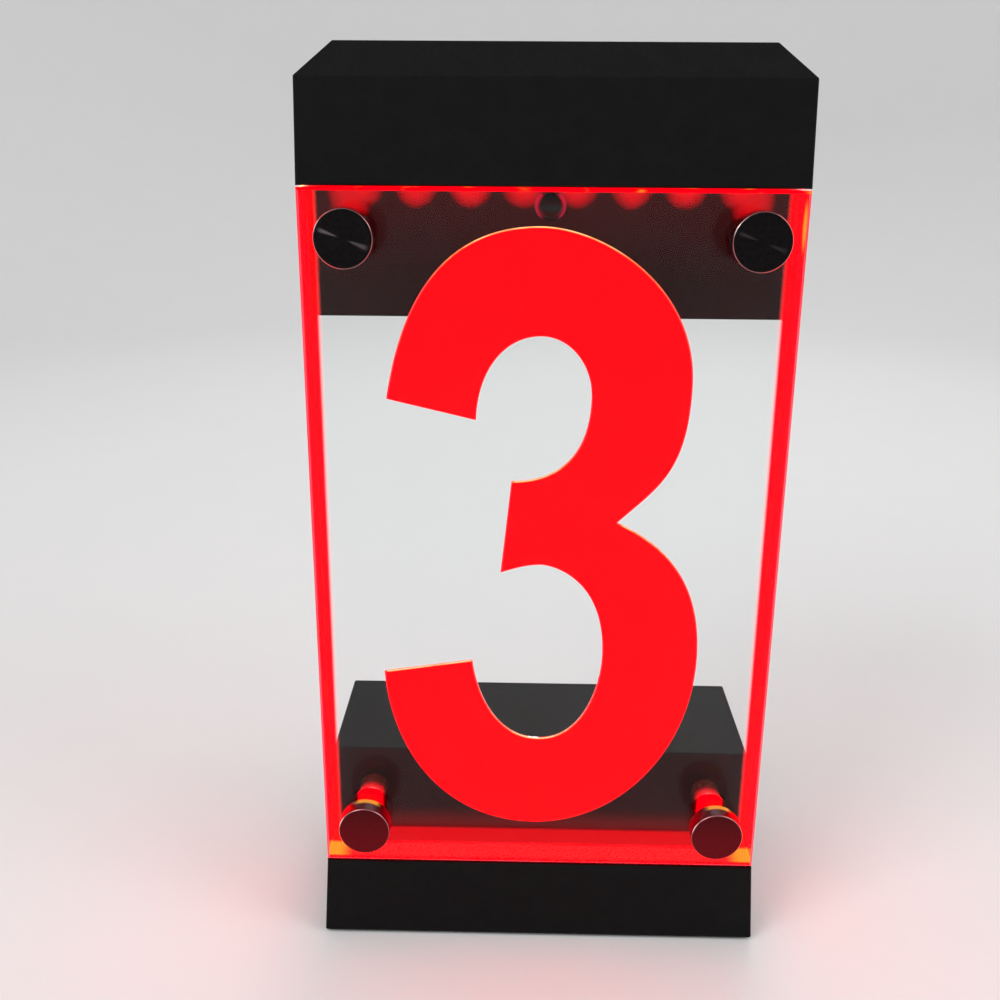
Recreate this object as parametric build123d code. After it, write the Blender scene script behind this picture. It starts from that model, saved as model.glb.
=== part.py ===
from build123d import *
import math
import os

# Illuminated house number sign: a thick clear plate with a frosted numeral stands on a base housing and
# carries a top housing, whose eight LEDs shine down into the plate's top edge.
# Millimetres, +Z up. The front of the sign faces -Y, and the origin is the middle of the space that the
# sign takes up on the ground. A depth is measured back from the front face of the plate.

# ---- Driving dimensions: plate and numeral ----
plate_width = 150.0
plate_height = 230.0
plate_thickness = 18.0
plate_edge_chamfer = 0.8
numeral_height = 208.2
numeral_width = 106.6
numeral_base = 10.3
numeral_left = 20.9
numeral_depth = 1.2

# ---- Driving dimensions: fixings ----
fixing_side_inset = 14.5
top_fixing_inset = 14.0
bottom_fixing_inset = 16.5
cap_diameter = 17.5
cap_thickness = 6.4
cap_rim_chamfer = 0.6
cap_washer_diameter = 14.0
cap_washer_thickness = 0.5
stud_diameter = 6.0
stud_thread_in_cap = 4.4
stud_past_nut = 1.5
sleeve_wall = 0.95
spacer_diameter = 10.0
spacer_washer_diameter = 12.0
spacer_washer_thickness = 0.5
nut_across_flats = 10.0
nut_thickness = 5.0
nut_washer_diameter = 12.0
nut_washer_thickness = 1.0
fit_clearance = 0.1
hole_clearance = 0.15
wall_hole_clearance = 0.4
head_clearance = 0.6

# ---- Driving dimensions: housings ----
housing_depth = 82.0
housing_wall = 3.0
plate_gap = 11.0
edge_round = 0.8
foot_stand_out = 1.0
base_front_height = 28.5
base_block_rise = 32.0
base_draft = 0.056
top_front_height = 30.0
top_chamfer = 10.0
top_drop = 41.0
top_draft = 0.023
light_gap = 0.5
rest_pad_thickness = 0.5
rest_pad_inset = 2.0
cover_thickness = 3.0
cover_clearance = 0.3
corner_boss = 8.5
corner_boss_height = 12.0

# ---- Driving dimensions: screws and rubber feet ----
cover_screw_diameter = 3.0
cover_screw_head = 5.5
cover_screw_head_height = 1.8
cover_screw_length = 10.0
small_screw_diameter = 2.5
small_screw_head = 4.5
small_screw_head_height = 1.8
small_screw_length = 7.0
small_boss_diameter = 7.0
foot_diameter = 14.0
foot_recess = 1.0
foot_side_inset = 19.0
foot_front_depth = 9.0
foot_back_inset = 13.0
ballast_side_room = 25.0
ballast_end_room = 4.5
ballast_height = 20.0
ballast_edge = 2.0

# ---- Driving dimensions: light ----
led_count = 8
led_pitch = 16.67
led_size = 5.0
led_height = 1.6
led_lens_diameter = 3.6
led_lens_height = 0.4
light_slot_depth = 8.0
window_side_gap = 2.0
window_overlap = 2.0
window_depth = 11.0
window_thickness = 2.0
window_to_led = 1.0
led_board_end_gap = 1.0
led_board_depth = 8.2
board_thickness = 1.6
carrier_wall = 1.2
carrier_tab_width = 10.0
carrier_tab_length = 9.5
carrier_screw_inset = 20.0

# ---- Driving dimensions: dusk sensor ----
sensor_below_plate_top = 6.0
dome_diameter = 9.6
dome_stand_out = 6.0
dome_wall = 1.2
dome_flange_diameter = 13.0
dome_flange_thickness = 1.5
sensor_boss_spread = 21.0
sensor_boss_diameter = 6.0
sensor_boss_length = 6.0
sensor_board_width = 28.0
sensor_board_height = 14.0
sensor_ring_diameter = 14.0
sensor_element_diameter = 5.4
sensor_element_length = 8.5

# ---- Driving dimensions: control board, button and charging port ----
board_height_over_ledge = 12.5
board_back_gap = 5.6
board_depth = 33.4
board_width = 72.0
board_screw_side_margin = 5.0
board_screw_margin = 4.0
chip_size = 7.0
chip_height = 1.6
inductor_size = 8.0
inductor_height = 4.2
capacitor_diameter = 6.3
capacitor_height = 7.5
port_boss_gap = 3.03
port_body_width = 8.94
port_body_height = 3.2
port_body_length = 7.5
port_wall = 0.35
port_corner = 1.2
port_tongue_thickness = 0.7
plug_hole_width = 12.6
plug_hole_height = 7.0
port_pad_thickness = 5.0
port_pad_margin = 2.5
flap_width = 17.4
flap_height = 11.4
flap_thickness = 2.6
flap_clearance = 0.3
flap_pin_diameter = 1.2
flap_pin_end = 2.0
nail_notch_width = 6.0
nail_notch_depth = 1.0
nail_notch_height = 1.2
button_diameter = 10.0
button_hole_clearance = 0.2
button_flange_diameter = 13.0
button_flange_thickness = 1.5
button_recess = 0.3
button_travel = 0.8
button_stem_diameter = 4.0
switch_width = 6.0
switch_depth = 3.5
switch_plunger_diameter = 1.8
switch_plunger_length = 3.2
switch_bore_depth = 2.2

# ---- Driving dimensions: battery, its holder and its door ----
cell_diameter = 18.4
cell_length = 65.0
cell_button_diameter = 5.5
cell_button_height = 0.8
cell_clearance = 0.4
cell_web = 1.2
cell_end_room = 2.5
cell_rim = 0.6
holder_back_gap = 1.4
holder_floor = 1.4
contact_width = 9.0
contact_strip = 0.4
contact_half_span = 5.0
holder_end_wall = 4.0
door_side_room = 4.3
door_thickness = 2.6
door_clearance = 0.3
door_bottom_over_cover = 1.0
door_pin_diameter = 2.0
door_pin_end = 3.0
door_ledge_width = 2.4
door_frame_margin = 2.4
door_frame_thickness = 2.5
gasket_thickness = 0.6
gasket_width = 1.6

# ---- Driving dimensions: leads ----
lead_diameter = 1.6
connector_width = 6.0
connector_depth = 5.0
connector_height = 5.0
led_lead_rise = 10.5
battery_lead_screw_gap = 0.75
battery_lead_run = 10.0
battery_lead_drop = 12.0
sensor_lead_gap = 2.6
sensor_lead_drop = 3.0
connector_edge_gap = 1.0

# ---- Places worked out from the dimensions ----
front_stand_out = cap_washer_thickness + cap_thickness
total_depth = front_stand_out + housing_depth
plate_front_y = front_stand_out - total_depth / 2
wall_depth = plate_thickness + plate_gap
inner_wall_depth = wall_depth + housing_wall
inner_back_depth = housing_depth - housing_wall
half_width = plate_width / 2
light_depth = plate_thickness / 2
fixing_spread = plate_width - 2 * fixing_side_inset
foot_spread = plate_width - 2 * foot_side_inset
foot_back_depth = housing_depth - foot_back_inset
ballast_width = plate_width - 2 * ballast_side_room
ballast_depth = inner_back_depth - inner_wall_depth - 2 * ballast_end_room

base_bottom = foot_stand_out
ledge_top = base_bottom + base_front_height
plate_bottom = ledge_top + rest_pad_thickness
plate_top = plate_bottom + plate_height
block_top = plate_bottom + base_block_rise
top_underside = plate_top + light_gap
chamfer_start = top_underside + top_front_height
roof = chamfer_start + top_chamfer
drop_bottom = plate_top - top_drop
ledge_floor = top_underside + housing_wall
inner_roof = roof - housing_wall

fixing_x = [-fixing_spread / 2, fixing_spread / 2]
top_fixing_z = plate_top - top_fixing_inset
bottom_fixing_z = plate_bottom + bottom_fixing_inset
fixings = [(x, z) for z in (bottom_fixing_z, top_fixing_z) for x in fixing_x]

window_length = plate_width - 2 * (housing_wall + window_side_gap)
light_slot_width = window_length - 2 * window_overlap
led_board_length = window_length - 2 * led_board_end_gap
carrier_screw_spread = window_length - 2 * carrier_screw_inset
window_top = ledge_floor + window_thickness
led_bottom = window_top + window_to_led
led_board_bottom = led_bottom + led_height
led_board_top = led_board_bottom + board_thickness
carrier_top = led_board_top + carrier_wall

sensor_z = plate_top - sensor_below_plate_top
sensor_board_depth = inner_wall_depth + sensor_boss_length

board_back_depth = inner_back_depth - board_back_gap
board_front_depth = board_back_depth - board_depth
board_screw_spread = board_width - 2 * board_screw_side_margin
board_bottom = ledge_floor + board_height_over_ledge
board_top = board_bottom + board_thickness
port_z = board_top + port_body_height / 2
board_screw_x = board_screw_spread / 2
port_x = board_screw_x - small_boss_diameter / 2 - port_boss_gap - port_body_width / 2
button_x = -port_x
battery_lead_x = -board_screw_x + small_screw_head / 2 + battery_lead_screw_gap + connector_width / 2
board_screws = [
    (x, d)
    for x in (-board_screw_x, board_screw_x)
    for d in (board_front_depth + board_screw_margin, board_back_depth - board_screw_margin)
]

cover_top = drop_bottom + cover_thickness
cover_screw_x = half_width - housing_wall - corner_boss / 2
cover_screws = [
    (x, d)
    for x in (-cover_screw_x, cover_screw_x)
    for d in (inner_wall_depth + corner_boss / 2, inner_back_depth - corner_boss / 2)
]
base_screws = [
    (x, d)
    for x in (-cover_screw_x, cover_screw_x)
    for d in (housing_wall + corner_boss / 2, inner_back_depth - corner_boss / 2)
]
base_cover_top = base_bottom + cover_thickness

cell_pocket_diameter = cell_diameter + 2 * cell_clearance
cell_pitch = cell_pocket_diameter + cell_web
cell_room = cell_length + 2 * cell_end_room
holder_length = cell_room + 2 * holder_end_wall

door_bottom = cover_top + door_bottom_over_cover
door_outer_depth = housing_depth - door_clearance
door_inner_depth = door_outer_depth - door_thickness
door_pin_depth = door_outer_depth - door_thickness / 2
door_pin_z = door_bottom + door_thickness / 2
door_seat_depth = door_inner_depth - gasket_thickness
door_frame_depth = door_seat_depth - door_frame_thickness
holder_back_depth = door_frame_depth - holder_back_gap
cell_depth = holder_back_depth - cell_pocket_diameter / 2
holder_front_depth = cell_depth - cell_pocket_diameter / 2 - holder_floor
opening_bottom = door_bottom + door_thickness + door_clearance + gasket_width
cell_z = [opening_bottom + cell_pocket_diameter / 2 + number * cell_pitch for number in range(2)]
opening_top = cell_z[1] + cell_pocket_diameter / 2
door_top = opening_top + door_ledge_width
opening_half_width = cell_room / 2 + door_side_room
door_width = 2 * (opening_half_width + door_ledge_width)
holder_top = opening_top + holder_floor

flap_outer_depth = housing_depth - flap_clearance
flap_inner_depth = flap_outer_depth - flap_thickness
flap_pin_depth = flap_outer_depth - flap_thickness / 2
flap_top = port_z + flap_height / 2
flap_bottom = port_z - flap_height / 2
flap_pin_z = flap_top - flap_thickness / 2
port_mouth_depth = inner_back_depth - port_pad_thickness - flap_clearance

led_connector_x = -board_width / 4
led_connector_depth = board_front_depth + connector_edge_gap + connector_depth / 2
battery_lead_depth = holder_front_depth - battery_lead_run
sensor_lead_depth = holder_front_depth - sensor_lead_gap
stud_hole = stud_diameter + wall_hole_clearance
cover_head_bore = cover_screw_head + head_clearance
small_head_bore = small_screw_head + head_clearance


# ---- Shapes that repeat: every depth is measured back from the front of the plate ----
def depth(back):
    """The y of a place that lies this far behind the front face of the plate."""
    return plate_front_y + back


def block(x, d, z):
    """Box between two x values, two depths and two heights."""
    centre = Pos((x[0] + x[1]) / 2, depth((d[0] + d[1]) / 2), (z[0] + z[1]) / 2)
    return centre * Box(x[1] - x[0], d[1] - d[0], z[1] - z[0])


def rod(x, z, d, diameter):
    """Cylinder along Y between two depths."""
    centre = Pos(x, depth((d[0] + d[1]) / 2), z)
    return centre * Rot(90, 0, 0) * Cylinder(diameter / 2, d[1] - d[0])


def post(x, d, z, diameter):
    """Upright cylinder between two heights."""
    return Pos(x, depth(d), (z[0] + z[1]) / 2) * Cylinder(diameter / 2, z[1] - z[0])


def bar(x, d, z, diameter):
    """Cylinder along X between two x values."""
    return Pos((x[0] + x[1]) / 2, depth(d), z) * Rot(0, 90, 0) * Cylinder(diameter / 2, x[1] - x[0])


def tapered_block(levels):
    """Block through level rectangles, each given as height, half width, front depth and back depth."""
    slices = []
    for height, half, front, back in levels:
        middle = Pos(0, depth((front + back) / 2), height)
        slices.append(middle * Rectangle(2 * half, back - front))
    return loft(slices, ruled=True)


def lead(points):
    """Round lead along straight runs joined by the largest even arcs, its radii and volume printed."""
    path_points = [Vector(x, depth(d), z) for x, d, z in points]
    runs = [b - a for a, b in zip(path_points, path_points[1:])]
    radii = []
    for before, after in zip(runs, runs[1:]):
        half_turn = math.radians(before.get_angle(after)) / 2
        radii.append(0.45 * min(before.length, after.length) / math.tan(half_turn))
    path = FilletPolyline(*path_points, radius=radii)
    section = Plane(origin=path_points[0], z_dir=runs[0]) * Circle(lead_diameter / 2)
    tube = sweep(section, path=path)
    share = tube.volume / (math.pi * lead_diameter**2 / 4 * path.length)
    print("lead radii", [round(r, 1) for r in radii], "volume over section times length", round(share, 4))
    return tube


def screw(x, d, seat, length, up, sizes):
    """Upright cap screw on its seat, the shank going up or down and the head on the other side."""
    shank_diameter, head_diameter, head_height = sizes
    sign = 1 if up else -1
    shank = post(x, d, sorted((seat, seat + sign * length)), shank_diameter)
    head = post(x, d, sorted((seat, seat - sign * head_height)), head_diameter)
    socket_end = seat - sign * head_height
    socket = post(x, d, sorted((socket_end, socket_end + sign * head_height / 2)), shank_diameter * 0.8)
    return shank + head - socket


cover_screw_sizes = (cover_screw_diameter, cover_screw_head, cover_screw_head_height)
small_screw_sizes = (small_screw_diameter, small_screw_head, small_screw_head_height)


# ---- Plate and numeral ----
def numeral_outline():
    """Closed outline of the numeral 3 on the back face of the plate, from thousandths of its size."""

    def place(across, up):
        x = -half_width + numeral_left + numeral_width * across / 1000
        z = plate_bottom + numeral_base + numeral_height * up / 1000
        return Vector(x, depth(plate_thickness), z)

    curves = [
        [(294, 710), (298, 786), (376, 840), (487, 840)],
        [(487, 840), (570, 840), (639, 798), (639, 748)],
        [(639, 748), (639, 635), (503, 612), (403, 612)],
        [(403, 612), (372, 460)],
        [(372, 460), (414, 467), (451, 474), (500, 474)],
        [(500, 474), (516, 474), (699, 460), (699, 320)],
        [(699, 320), (699, 258), (642, 162), (499, 162)],
        [(499, 162), (341, 162), (290, 265), (283, 304)],
        [(283, 304), (0, 282)],
        [(0, 282), (22, 119), (207, 0), (489, 0)],
        [(489, 0), (771, 0), (1000, 141), (1000, 316)],
        [(1000, 316), (1000, 433), (910, 504), (728, 546)],
        [(728, 546), (842, 604), (935, 627), (935, 767)],
        [(935, 767), (935, 917), (660, 1000), (479, 1000)],
        [(479, 1000), (207, 1000), (76, 897), (27, 742)],
        [(27, 742), (294, 710)],
    ]
    edges = []
    for points in curves:
        places = [place(*point) for point in points]
        edges.append(Line(*places) if len(places) == 2 else Bezier(*places))
    return Face(Wire([curve.edge() for curve in edges]))


def make_numeral_inlay():
    """Frosted red filling of the engraved numeral, flush with the plate's back face."""
    return extrude(numeral_outline(), amount=numeral_depth, dir=(0, -1, 0))


def make_acrylic_plate(numeral):
    """Clear plate with small chamfers, four fixing holes and the engraved numeral."""
    plate = block((-half_width, half_width), (0, plate_thickness), (plate_bottom, plate_top))
    faces = plate.faces().sort_by(Axis.Y)
    plate = chamfer(faces[0].edges() + faces[-1].edges(), plate_edge_chamfer)
    sleeve = stud_diameter + 2 * fit_clearance + 2 * sleeve_wall
    for x, z in fixings:
        plate -= rod(x, z, (-1, plate_thickness + 1), sleeve + 2 * hole_clearance)
    return plate - numeral


def make_rest_pad():
    """Thin silicone pad between the base's ledge and the plate's bottom edge."""
    x = (-half_width + rest_pad_inset, half_width - rest_pad_inset)
    return block(x, (1.0, plate_thickness - 1.0), (ledge_top, plate_bottom))


# ---- Stand-off fixings, one of each kind in each corner of the plate ----
def ring(x, z, d, outer, inner):
    """Round washer or tube along Y."""
    return rod(x, z, d, outer) - rod(x, z, d, inner)


def make_cap(x, z):
    """Round cap with a chamfered rim and a blind threaded hole at its back."""
    cap = rod(x, z, (-front_stand_out, -cap_washer_thickness), cap_diameter)
    front = cap.faces().sort_by(Axis.Y)[0]
    cap = chamfer(front.edges(), cap_rim_chamfer)
    thread_end = -cap_washer_thickness - stud_thread_in_cap
    return cap - rod(x, z, (thread_end, -cap_washer_thickness), stud_diameter + fit_clearance)


def make_cap_washer(x, z):
    """Soft washer between the cap and the plate's front face."""
    return ring(x, z, (-cap_washer_thickness, 0), cap_washer_diameter, stud_diameter + 2 * fit_clearance)


def make_sleeve(x, z):
    """Clear sleeve round the stud inside the plate's hole."""
    inner = stud_diameter + 2 * fit_clearance
    return ring(x, z, (0, plate_thickness), inner + 2 * sleeve_wall, inner)


def make_stud(x, z):
    """Threaded stud from the cap to just past the nut inside the housing."""
    front = -cap_washer_thickness - stud_thread_in_cap
    back = inner_wall_depth + nut_washer_thickness + nut_thickness + stud_past_nut
    return rod(x, z, (front, back), stud_diameter)


def make_spacer_washer(x, z):
    """Soft washer between the plate's back face and the spacer."""
    d = (plate_thickness, plate_thickness + spacer_washer_thickness)
    return ring(x, z, d, spacer_washer_diameter, stud_diameter + 2 * fit_clearance)


def make_spacer(x, z):
    """Tube that holds the plate off the housing's front wall."""
    d = (plate_thickness + spacer_washer_thickness, wall_depth)
    return ring(x, z, d, spacer_diameter, stud_diameter + 2 * fit_clearance)


def make_nut_washer(x, z):
    """Flat washer on the inside of the housing's front wall."""
    d = (inner_wall_depth, inner_wall_depth + nut_washer_thickness)
    return ring(x, z, d, nut_washer_diameter, stud_diameter + 2 * fit_clearance)


def make_nut(x, z):
    """Hexagon nut that clamps the housing, the spacer and the plate against the cap."""
    front = inner_wall_depth + nut_washer_thickness
    outline = RegularPolygon(nut_across_flats / 2, 6, major_radius=False)
    body = extrude(Plane(origin=(x, depth(front), z), z_dir=(0, 1, 0)) * outline, amount=nut_thickness)
    return body - rod(x, z, (front, front + nut_thickness), stud_diameter + fit_clearance)


# ---- Base housing ----
def base_block_outer():
    """Outside of the base: a drafted ledge in front and a straight block behind the plate."""
    flare = base_draft * (ledge_top - base_bottom)
    ledge = tapered_block(
        [
            (base_bottom, half_width + flare, -flare, housing_depth),
            (ledge_top, half_width, 0, housing_depth),
        ]
    )
    return ledge + block((-half_width, half_width), (wall_depth, housing_depth), (ledge_top, block_top))


def base_cavity(top_inset, bottom):
    """Room inside the base, one wall thickness in from the outside."""
    flare = base_draft * (ledge_top - bottom)
    inset = housing_wall
    room = tapered_block(
        [
            (bottom, half_width + flare - inset, inset - flare, inner_back_depth),
            (ledge_top - top_inset, half_width + base_draft * top_inset - inset, inset, inner_back_depth),
        ]
    )
    upper = block(
        (-half_width + inset, half_width - inset),
        (inner_wall_depth, inner_back_depth),
        (ledge_top - top_inset - 1, block_top - inset),
    )
    return room + upper


def round_outer_edges(body, corner_height):
    """Small rounds on every outer edge that doesn't end in the inner corner behind the plate."""
    picked = []
    for edge in body.edges():
        ends = [edge.position_at(0), edge.position_at(1)]
        in_corner = [abs(p.Y - depth(wall_depth)) < 0.01 and abs(p.Z - corner_height) < 0.01 for p in ends]
        if not any(in_corner):
            picked.append(edge)
    return fillet(picked, edge_round)


def make_base_shell():
    """Open-bottomed base housing with its four corner bosses and two stud holes."""
    outer = round_outer_edges(base_block_outer(), ledge_top)
    shell = outer - base_cavity(housing_wall, base_bottom - 1)
    for x, d in base_screws:
        reach = corner_boss / 2
        side = 1 if x > 0 else -1
        x_range = sorted((x - side * reach, x + side * (reach + 1)))
        near = d - reach - (1 if d < wall_depth else 0)
        far = d + reach + (0 if d < wall_depth else 1)
        roof_here = ledge_top - 1 if d < wall_depth else block_top - 1
        boss = block(x_range, (near, far), (base_cover_top, roof_here))
        hole = post(x, d, (base_cover_top, base_cover_top + cover_screw_length), screw_bore())
        shell += boss - hole
    for x in fixing_x:
        shell -= rod(x, bottom_fixing_z, (wall_depth - 1, inner_wall_depth + 1), stud_hole)
    return shell


def screw_bore():
    """Bore that a cover screw runs in."""
    return cover_screw_diameter + fit_clearance


def make_base_cover():
    """Drafted bottom plate with recesses for the feet, the cover screws and the ballast screws."""
    flare = base_draft * (ledge_top - base_bottom)
    flare_top = base_draft * (ledge_top - base_cover_top)
    inset = housing_wall + cover_clearance
    cover = tapered_block(
        [
            (base_bottom, half_width + flare - inset, inset - flare, housing_depth - inset),
            (base_cover_top, half_width + flare_top - inset, inset - flare_top, housing_depth - inset),
        ]
    )
    for x, d in base_screws + ballast_screws():
        cover -= post(x, d, (base_bottom - 1, base_cover_top + 1), screw_bore() + 2 * fit_clearance)
        cover -= post(x, d, (base_bottom - 1, base_bottom + cover_screw_head_height), cover_head_bore)
    for x, d in feet():
        cover -= post(x, d, (base_bottom - 1, base_bottom + foot_recess), foot_diameter + 2 * fit_clearance)
    return cover


def feet():
    """Places of the four rubber feet."""
    return [(x, d) for x in (-foot_spread / 2, foot_spread / 2) for d in (foot_front_depth, foot_back_depth)]


def make_foot(x, d):
    """Rubber disc with a rounded rim, glued into its recess."""
    disc = post(x, d, (0, base_bottom + foot_recess), foot_diameter)
    return fillet(disc.edges().sort_by(Axis.Z)[0], foot_stand_out / 2)


def ballast_middle():
    """Depth of the ballast's middle, halfway across the room behind the plate."""
    return (inner_wall_depth + inner_back_depth) / 2


def ballast_screws():
    """Places of the two screws that hold the ballast to the cover."""
    return [(x, ballast_middle()) for x in (-ballast_width / 4, ballast_width / 4)]


def make_ballast():
    """Steel block on the bottom cover that keeps the sign from tipping."""
    d = (ballast_middle() - ballast_depth / 2, ballast_middle() + ballast_depth / 2)
    z = (base_cover_top, base_cover_top + ballast_height)
    steel = block((-ballast_width / 2, ballast_width / 2), d, z)
    steel = chamfer(steel.edges().filter_by(Axis.Z), ballast_edge)
    for x, screw_depth in ballast_screws():
        steel -= post(x, screw_depth, (base_cover_top, base_cover_top + cover_screw_length), screw_bore())
    return steel


# ---- Top housing ----
def top_block_outer():
    """Outside of the top: a drafted front with a chamfered roof, and a straight drop behind the plate."""
    lean = top_draft * top_front_height
    levels = [
        (top_underside, half_width, 0, housing_depth),
        (chamfer_start, half_width - lean, lean, housing_depth),
        (roof, half_width - lean - top_chamfer, lean + top_chamfer, housing_depth - top_chamfer),
    ]
    drop = block((-half_width, half_width), (wall_depth, housing_depth), (drop_bottom, top_underside))
    return tapered_block(levels) + drop


def top_cavity():
    """Room inside the top, one wall thickness in from the outside, also square to the roof's chamfers."""
    chamfer_drop = housing_wall * (math.sqrt(2) - 1)
    start = chamfer_start - chamfer_drop
    inner_chamfer = inner_roof - start
    low = top_draft * housing_wall
    lean = top_draft * (start - top_underside)
    inset = housing_wall
    high = lean + inset + inner_chamfer
    levels = [
        (ledge_floor, half_width - low - inset, low + inset, inner_back_depth),
        (start, half_width - lean - inset, lean + inset, inner_back_depth),
        (inner_roof, half_width - high, high, housing_depth - inset - inner_chamfer),
    ]
    lower = block(
        (-half_width + inset, half_width - inset),
        (inner_wall_depth, inner_back_depth),
        (drop_bottom - 1, ledge_floor + 1),
    )
    return tapered_block(levels) + lower


def add_top_bosses(shell):
    """Corner bosses for the underside cover, bosses for the LED carrier, the boards and the sensor."""
    reach = corner_boss / 2
    for x, d in cover_screws:
        side = 1 if x > 0 else -1
        x_range = sorted((x - side * reach, x + side * (reach + 1)))
        near = d - reach - (1 if d < ballast_middle() else 0)
        far = d + reach + (0 if d < ballast_middle() else 1)
        boss = block(x_range, (near, far), (cover_top, cover_top + corner_boss_height))
        shell += boss - post(x, d, (cover_top, cover_top + cover_screw_length), screw_bore())
    bore = small_screw_diameter + fit_clearance
    for x in (-carrier_screw_spread / 2, carrier_screw_spread / 2):
        tall = (ledge_floor - 1, led_board_top)
        boss = post(x, carrier_screw_depth(), tall, small_boss_diameter)
        shell += boss - post(x, carrier_screw_depth(), (ledge_floor, led_board_top), bore)
    outside = top_block_outer()
    for x, d in board_screws:
        boss = post(x, d, (board_top, roof - 1), small_boss_diameter) & outside
        shell += boss - post(x, d, (board_top, board_top + small_screw_length), bore)
    for x in sensor_screw_x():
        boss = rod(x, sensor_z, (inner_wall_depth - 1, sensor_board_depth), sensor_boss_diameter)
        shell += boss - rod(x, sensor_z, (inner_wall_depth, sensor_board_depth), bore)
    return shell


def carrier_screw_depth():
    """Depth of the LED carrier's screws, behind the window."""
    return light_depth + window_depth / 2 + carrier_tab_length / 2


def sensor_screw_x():
    """The x of the sensor board's two screws."""
    return (-sensor_boss_spread / 2, sensor_boss_spread / 2)


def cut_light_slot(shell):
    """Slot over the plate's top edge that the LEDs shine through."""
    d = (light_depth - light_slot_depth / 2, light_depth + light_slot_depth / 2)
    x = (-light_slot_width / 2, light_slot_width / 2)
    return shell - block(x, d, (top_underside - 1, ledge_floor + 1))


def cut_front_holes(shell):
    """Holes for the two top studs and the sensor's dome in the wall behind the plate."""
    through = (wall_depth - 1, inner_wall_depth + 1)
    for x in fixing_x:
        shell -= rod(x, top_fixing_z, through, stud_hole)
    return shell - rod(0, sensor_z, through, dome_diameter + 2 * hole_clearance)


def cut_port_and_button(shell):
    """Recess, pad and hole of the charging port, the flap's pin holes and the button's hole."""
    half_recess = flap_width / 2 + flap_clearance
    half_pad = half_recess + port_pad_margin
    pad = block(
        (port_x - half_pad, port_x + half_pad),
        (inner_back_depth - port_pad_thickness, inner_back_depth + 1),
        (flap_bottom - flap_clearance - port_pad_margin, flap_top + flap_clearance + port_pad_margin),
    )
    recess = block(
        (port_x - half_recess, port_x + half_recess),
        (inner_back_depth, housing_depth + 1),
        (flap_bottom - flap_clearance, flap_top + flap_clearance),
    )
    plug_hole = block(
        (port_x - plug_hole_width / 2, port_x + plug_hole_width / 2),
        (inner_back_depth - port_pad_thickness - 1, inner_back_depth + 1),
        (port_z - plug_hole_height / 2, port_z + plug_hole_height / 2),
    )
    half_pin = flap_width / 2 + flap_pin_end
    pin_x = (port_x - half_pin, port_x + half_pin)
    pin = bar(pin_x, flap_pin_depth, flap_pin_z, flap_pin_diameter + fit_clearance)
    through = (inner_back_depth - 1, housing_depth + 1)
    button_hole = rod(button_x, port_z, through, button_diameter + 2 * button_hole_clearance)
    return shell + pad - recess - plug_hole - pin - button_hole


def door_block(margin, d):
    """Block of the battery door's outline, larger by a margin on every side."""
    x = (-door_width / 2 - margin, door_width / 2 + margin)
    return block(x, d, (door_bottom - margin, door_top + margin))


def cell_opening(margin, d):
    """Block of the opening that the cells pass through, larger by a margin on every side."""
    x = (-opening_half_width - margin, opening_half_width + margin)
    return block(x, d, (opening_bottom - margin, opening_top + margin))


def cut_battery_door(shell):
    """Frame, recess and opening of the battery door, with the holes for its pin."""
    half_frame = door_width / 2 + door_clearance + door_frame_margin
    frame_top = door_top + door_clearance + door_frame_margin
    frame = block(
        (-half_frame, half_frame),
        (door_frame_depth, inner_back_depth + 1),
        (cover_top + cover_clearance, frame_top),
    )
    recess = door_block(door_clearance, (door_seat_depth, housing_depth + 1))
    opening = cell_opening(0, (door_frame_depth - 1, housing_depth + 1))
    half_pin = door_width / 2 + door_pin_end
    pin = bar((-half_pin, half_pin), door_pin_depth, door_pin_z, door_pin_diameter + fit_clearance)
    return shell + frame - recess - opening - pin


def make_top_shell():
    """Top housing: one moulded shell with its bosses, slot, holes, port, button hole and battery opening."""
    outer = round_outer_edges(top_block_outer(), top_underside)
    shell = add_top_bosses(outer - top_cavity())
    shell = cut_front_holes(cut_light_slot(shell))
    return cut_battery_door(cut_port_and_button(shell))


def holder_screws():
    """Places of the two screws that hold the battery holder to the cover."""
    middle = (holder_front_depth + holder_back_depth) / 2
    x = cell_room / 2 + holder_end_wall / 2
    return [(-x, middle), (x, middle)]


def make_underside_cover():
    """Flat plate that closes the top housing's drop from below."""
    inset = housing_wall + cover_clearance
    cover = block(
        (-half_width + inset, half_width - inset),
        (wall_depth + inset, housing_depth - inset),
        (drop_bottom, cover_top),
    )
    for x, d in cover_screws:
        cover -= post(x, d, (drop_bottom - 1, cover_top + 1), screw_bore() + 2 * fit_clearance)
        cover -= post(x, d, (drop_bottom - 1, drop_bottom + cover_screw_head_height), cover_head_bore)
    for x, d in holder_screws():
        cover -= post(x, d, (drop_bottom - 1, cover_top + 1), small_screw_diameter + 2 * fit_clearance)
        cover -= post(x, d, (drop_bottom - 1, drop_bottom + small_screw_head_height), small_head_bore)
    return cover


def cover_screw(x, d, bottom):
    """Screw driven up through a cover, its head sunk flush with the cover's underside."""
    length = cover_screw_length - cover_screw_head_height + cover_thickness - 0.5
    return screw(x, d, bottom + cover_screw_head_height, length, True, cover_screw_sizes)


def holder_screw(x, d):
    """Screw driven up through the underside cover into the battery holder's end wall."""
    length = cover_thickness - small_screw_head_height + small_screw_length - 0.5
    return screw(x, d, drop_bottom + small_screw_head_height, length, True, small_screw_sizes)


# ---- Light ----
def make_light_window():
    """Clear strip on the ledge floor that seals the light slot."""
    d = (light_depth - window_depth / 2, light_depth + window_depth / 2)
    return block((-window_length / 2, window_length / 2), d, (ledge_floor, window_top))


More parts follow.
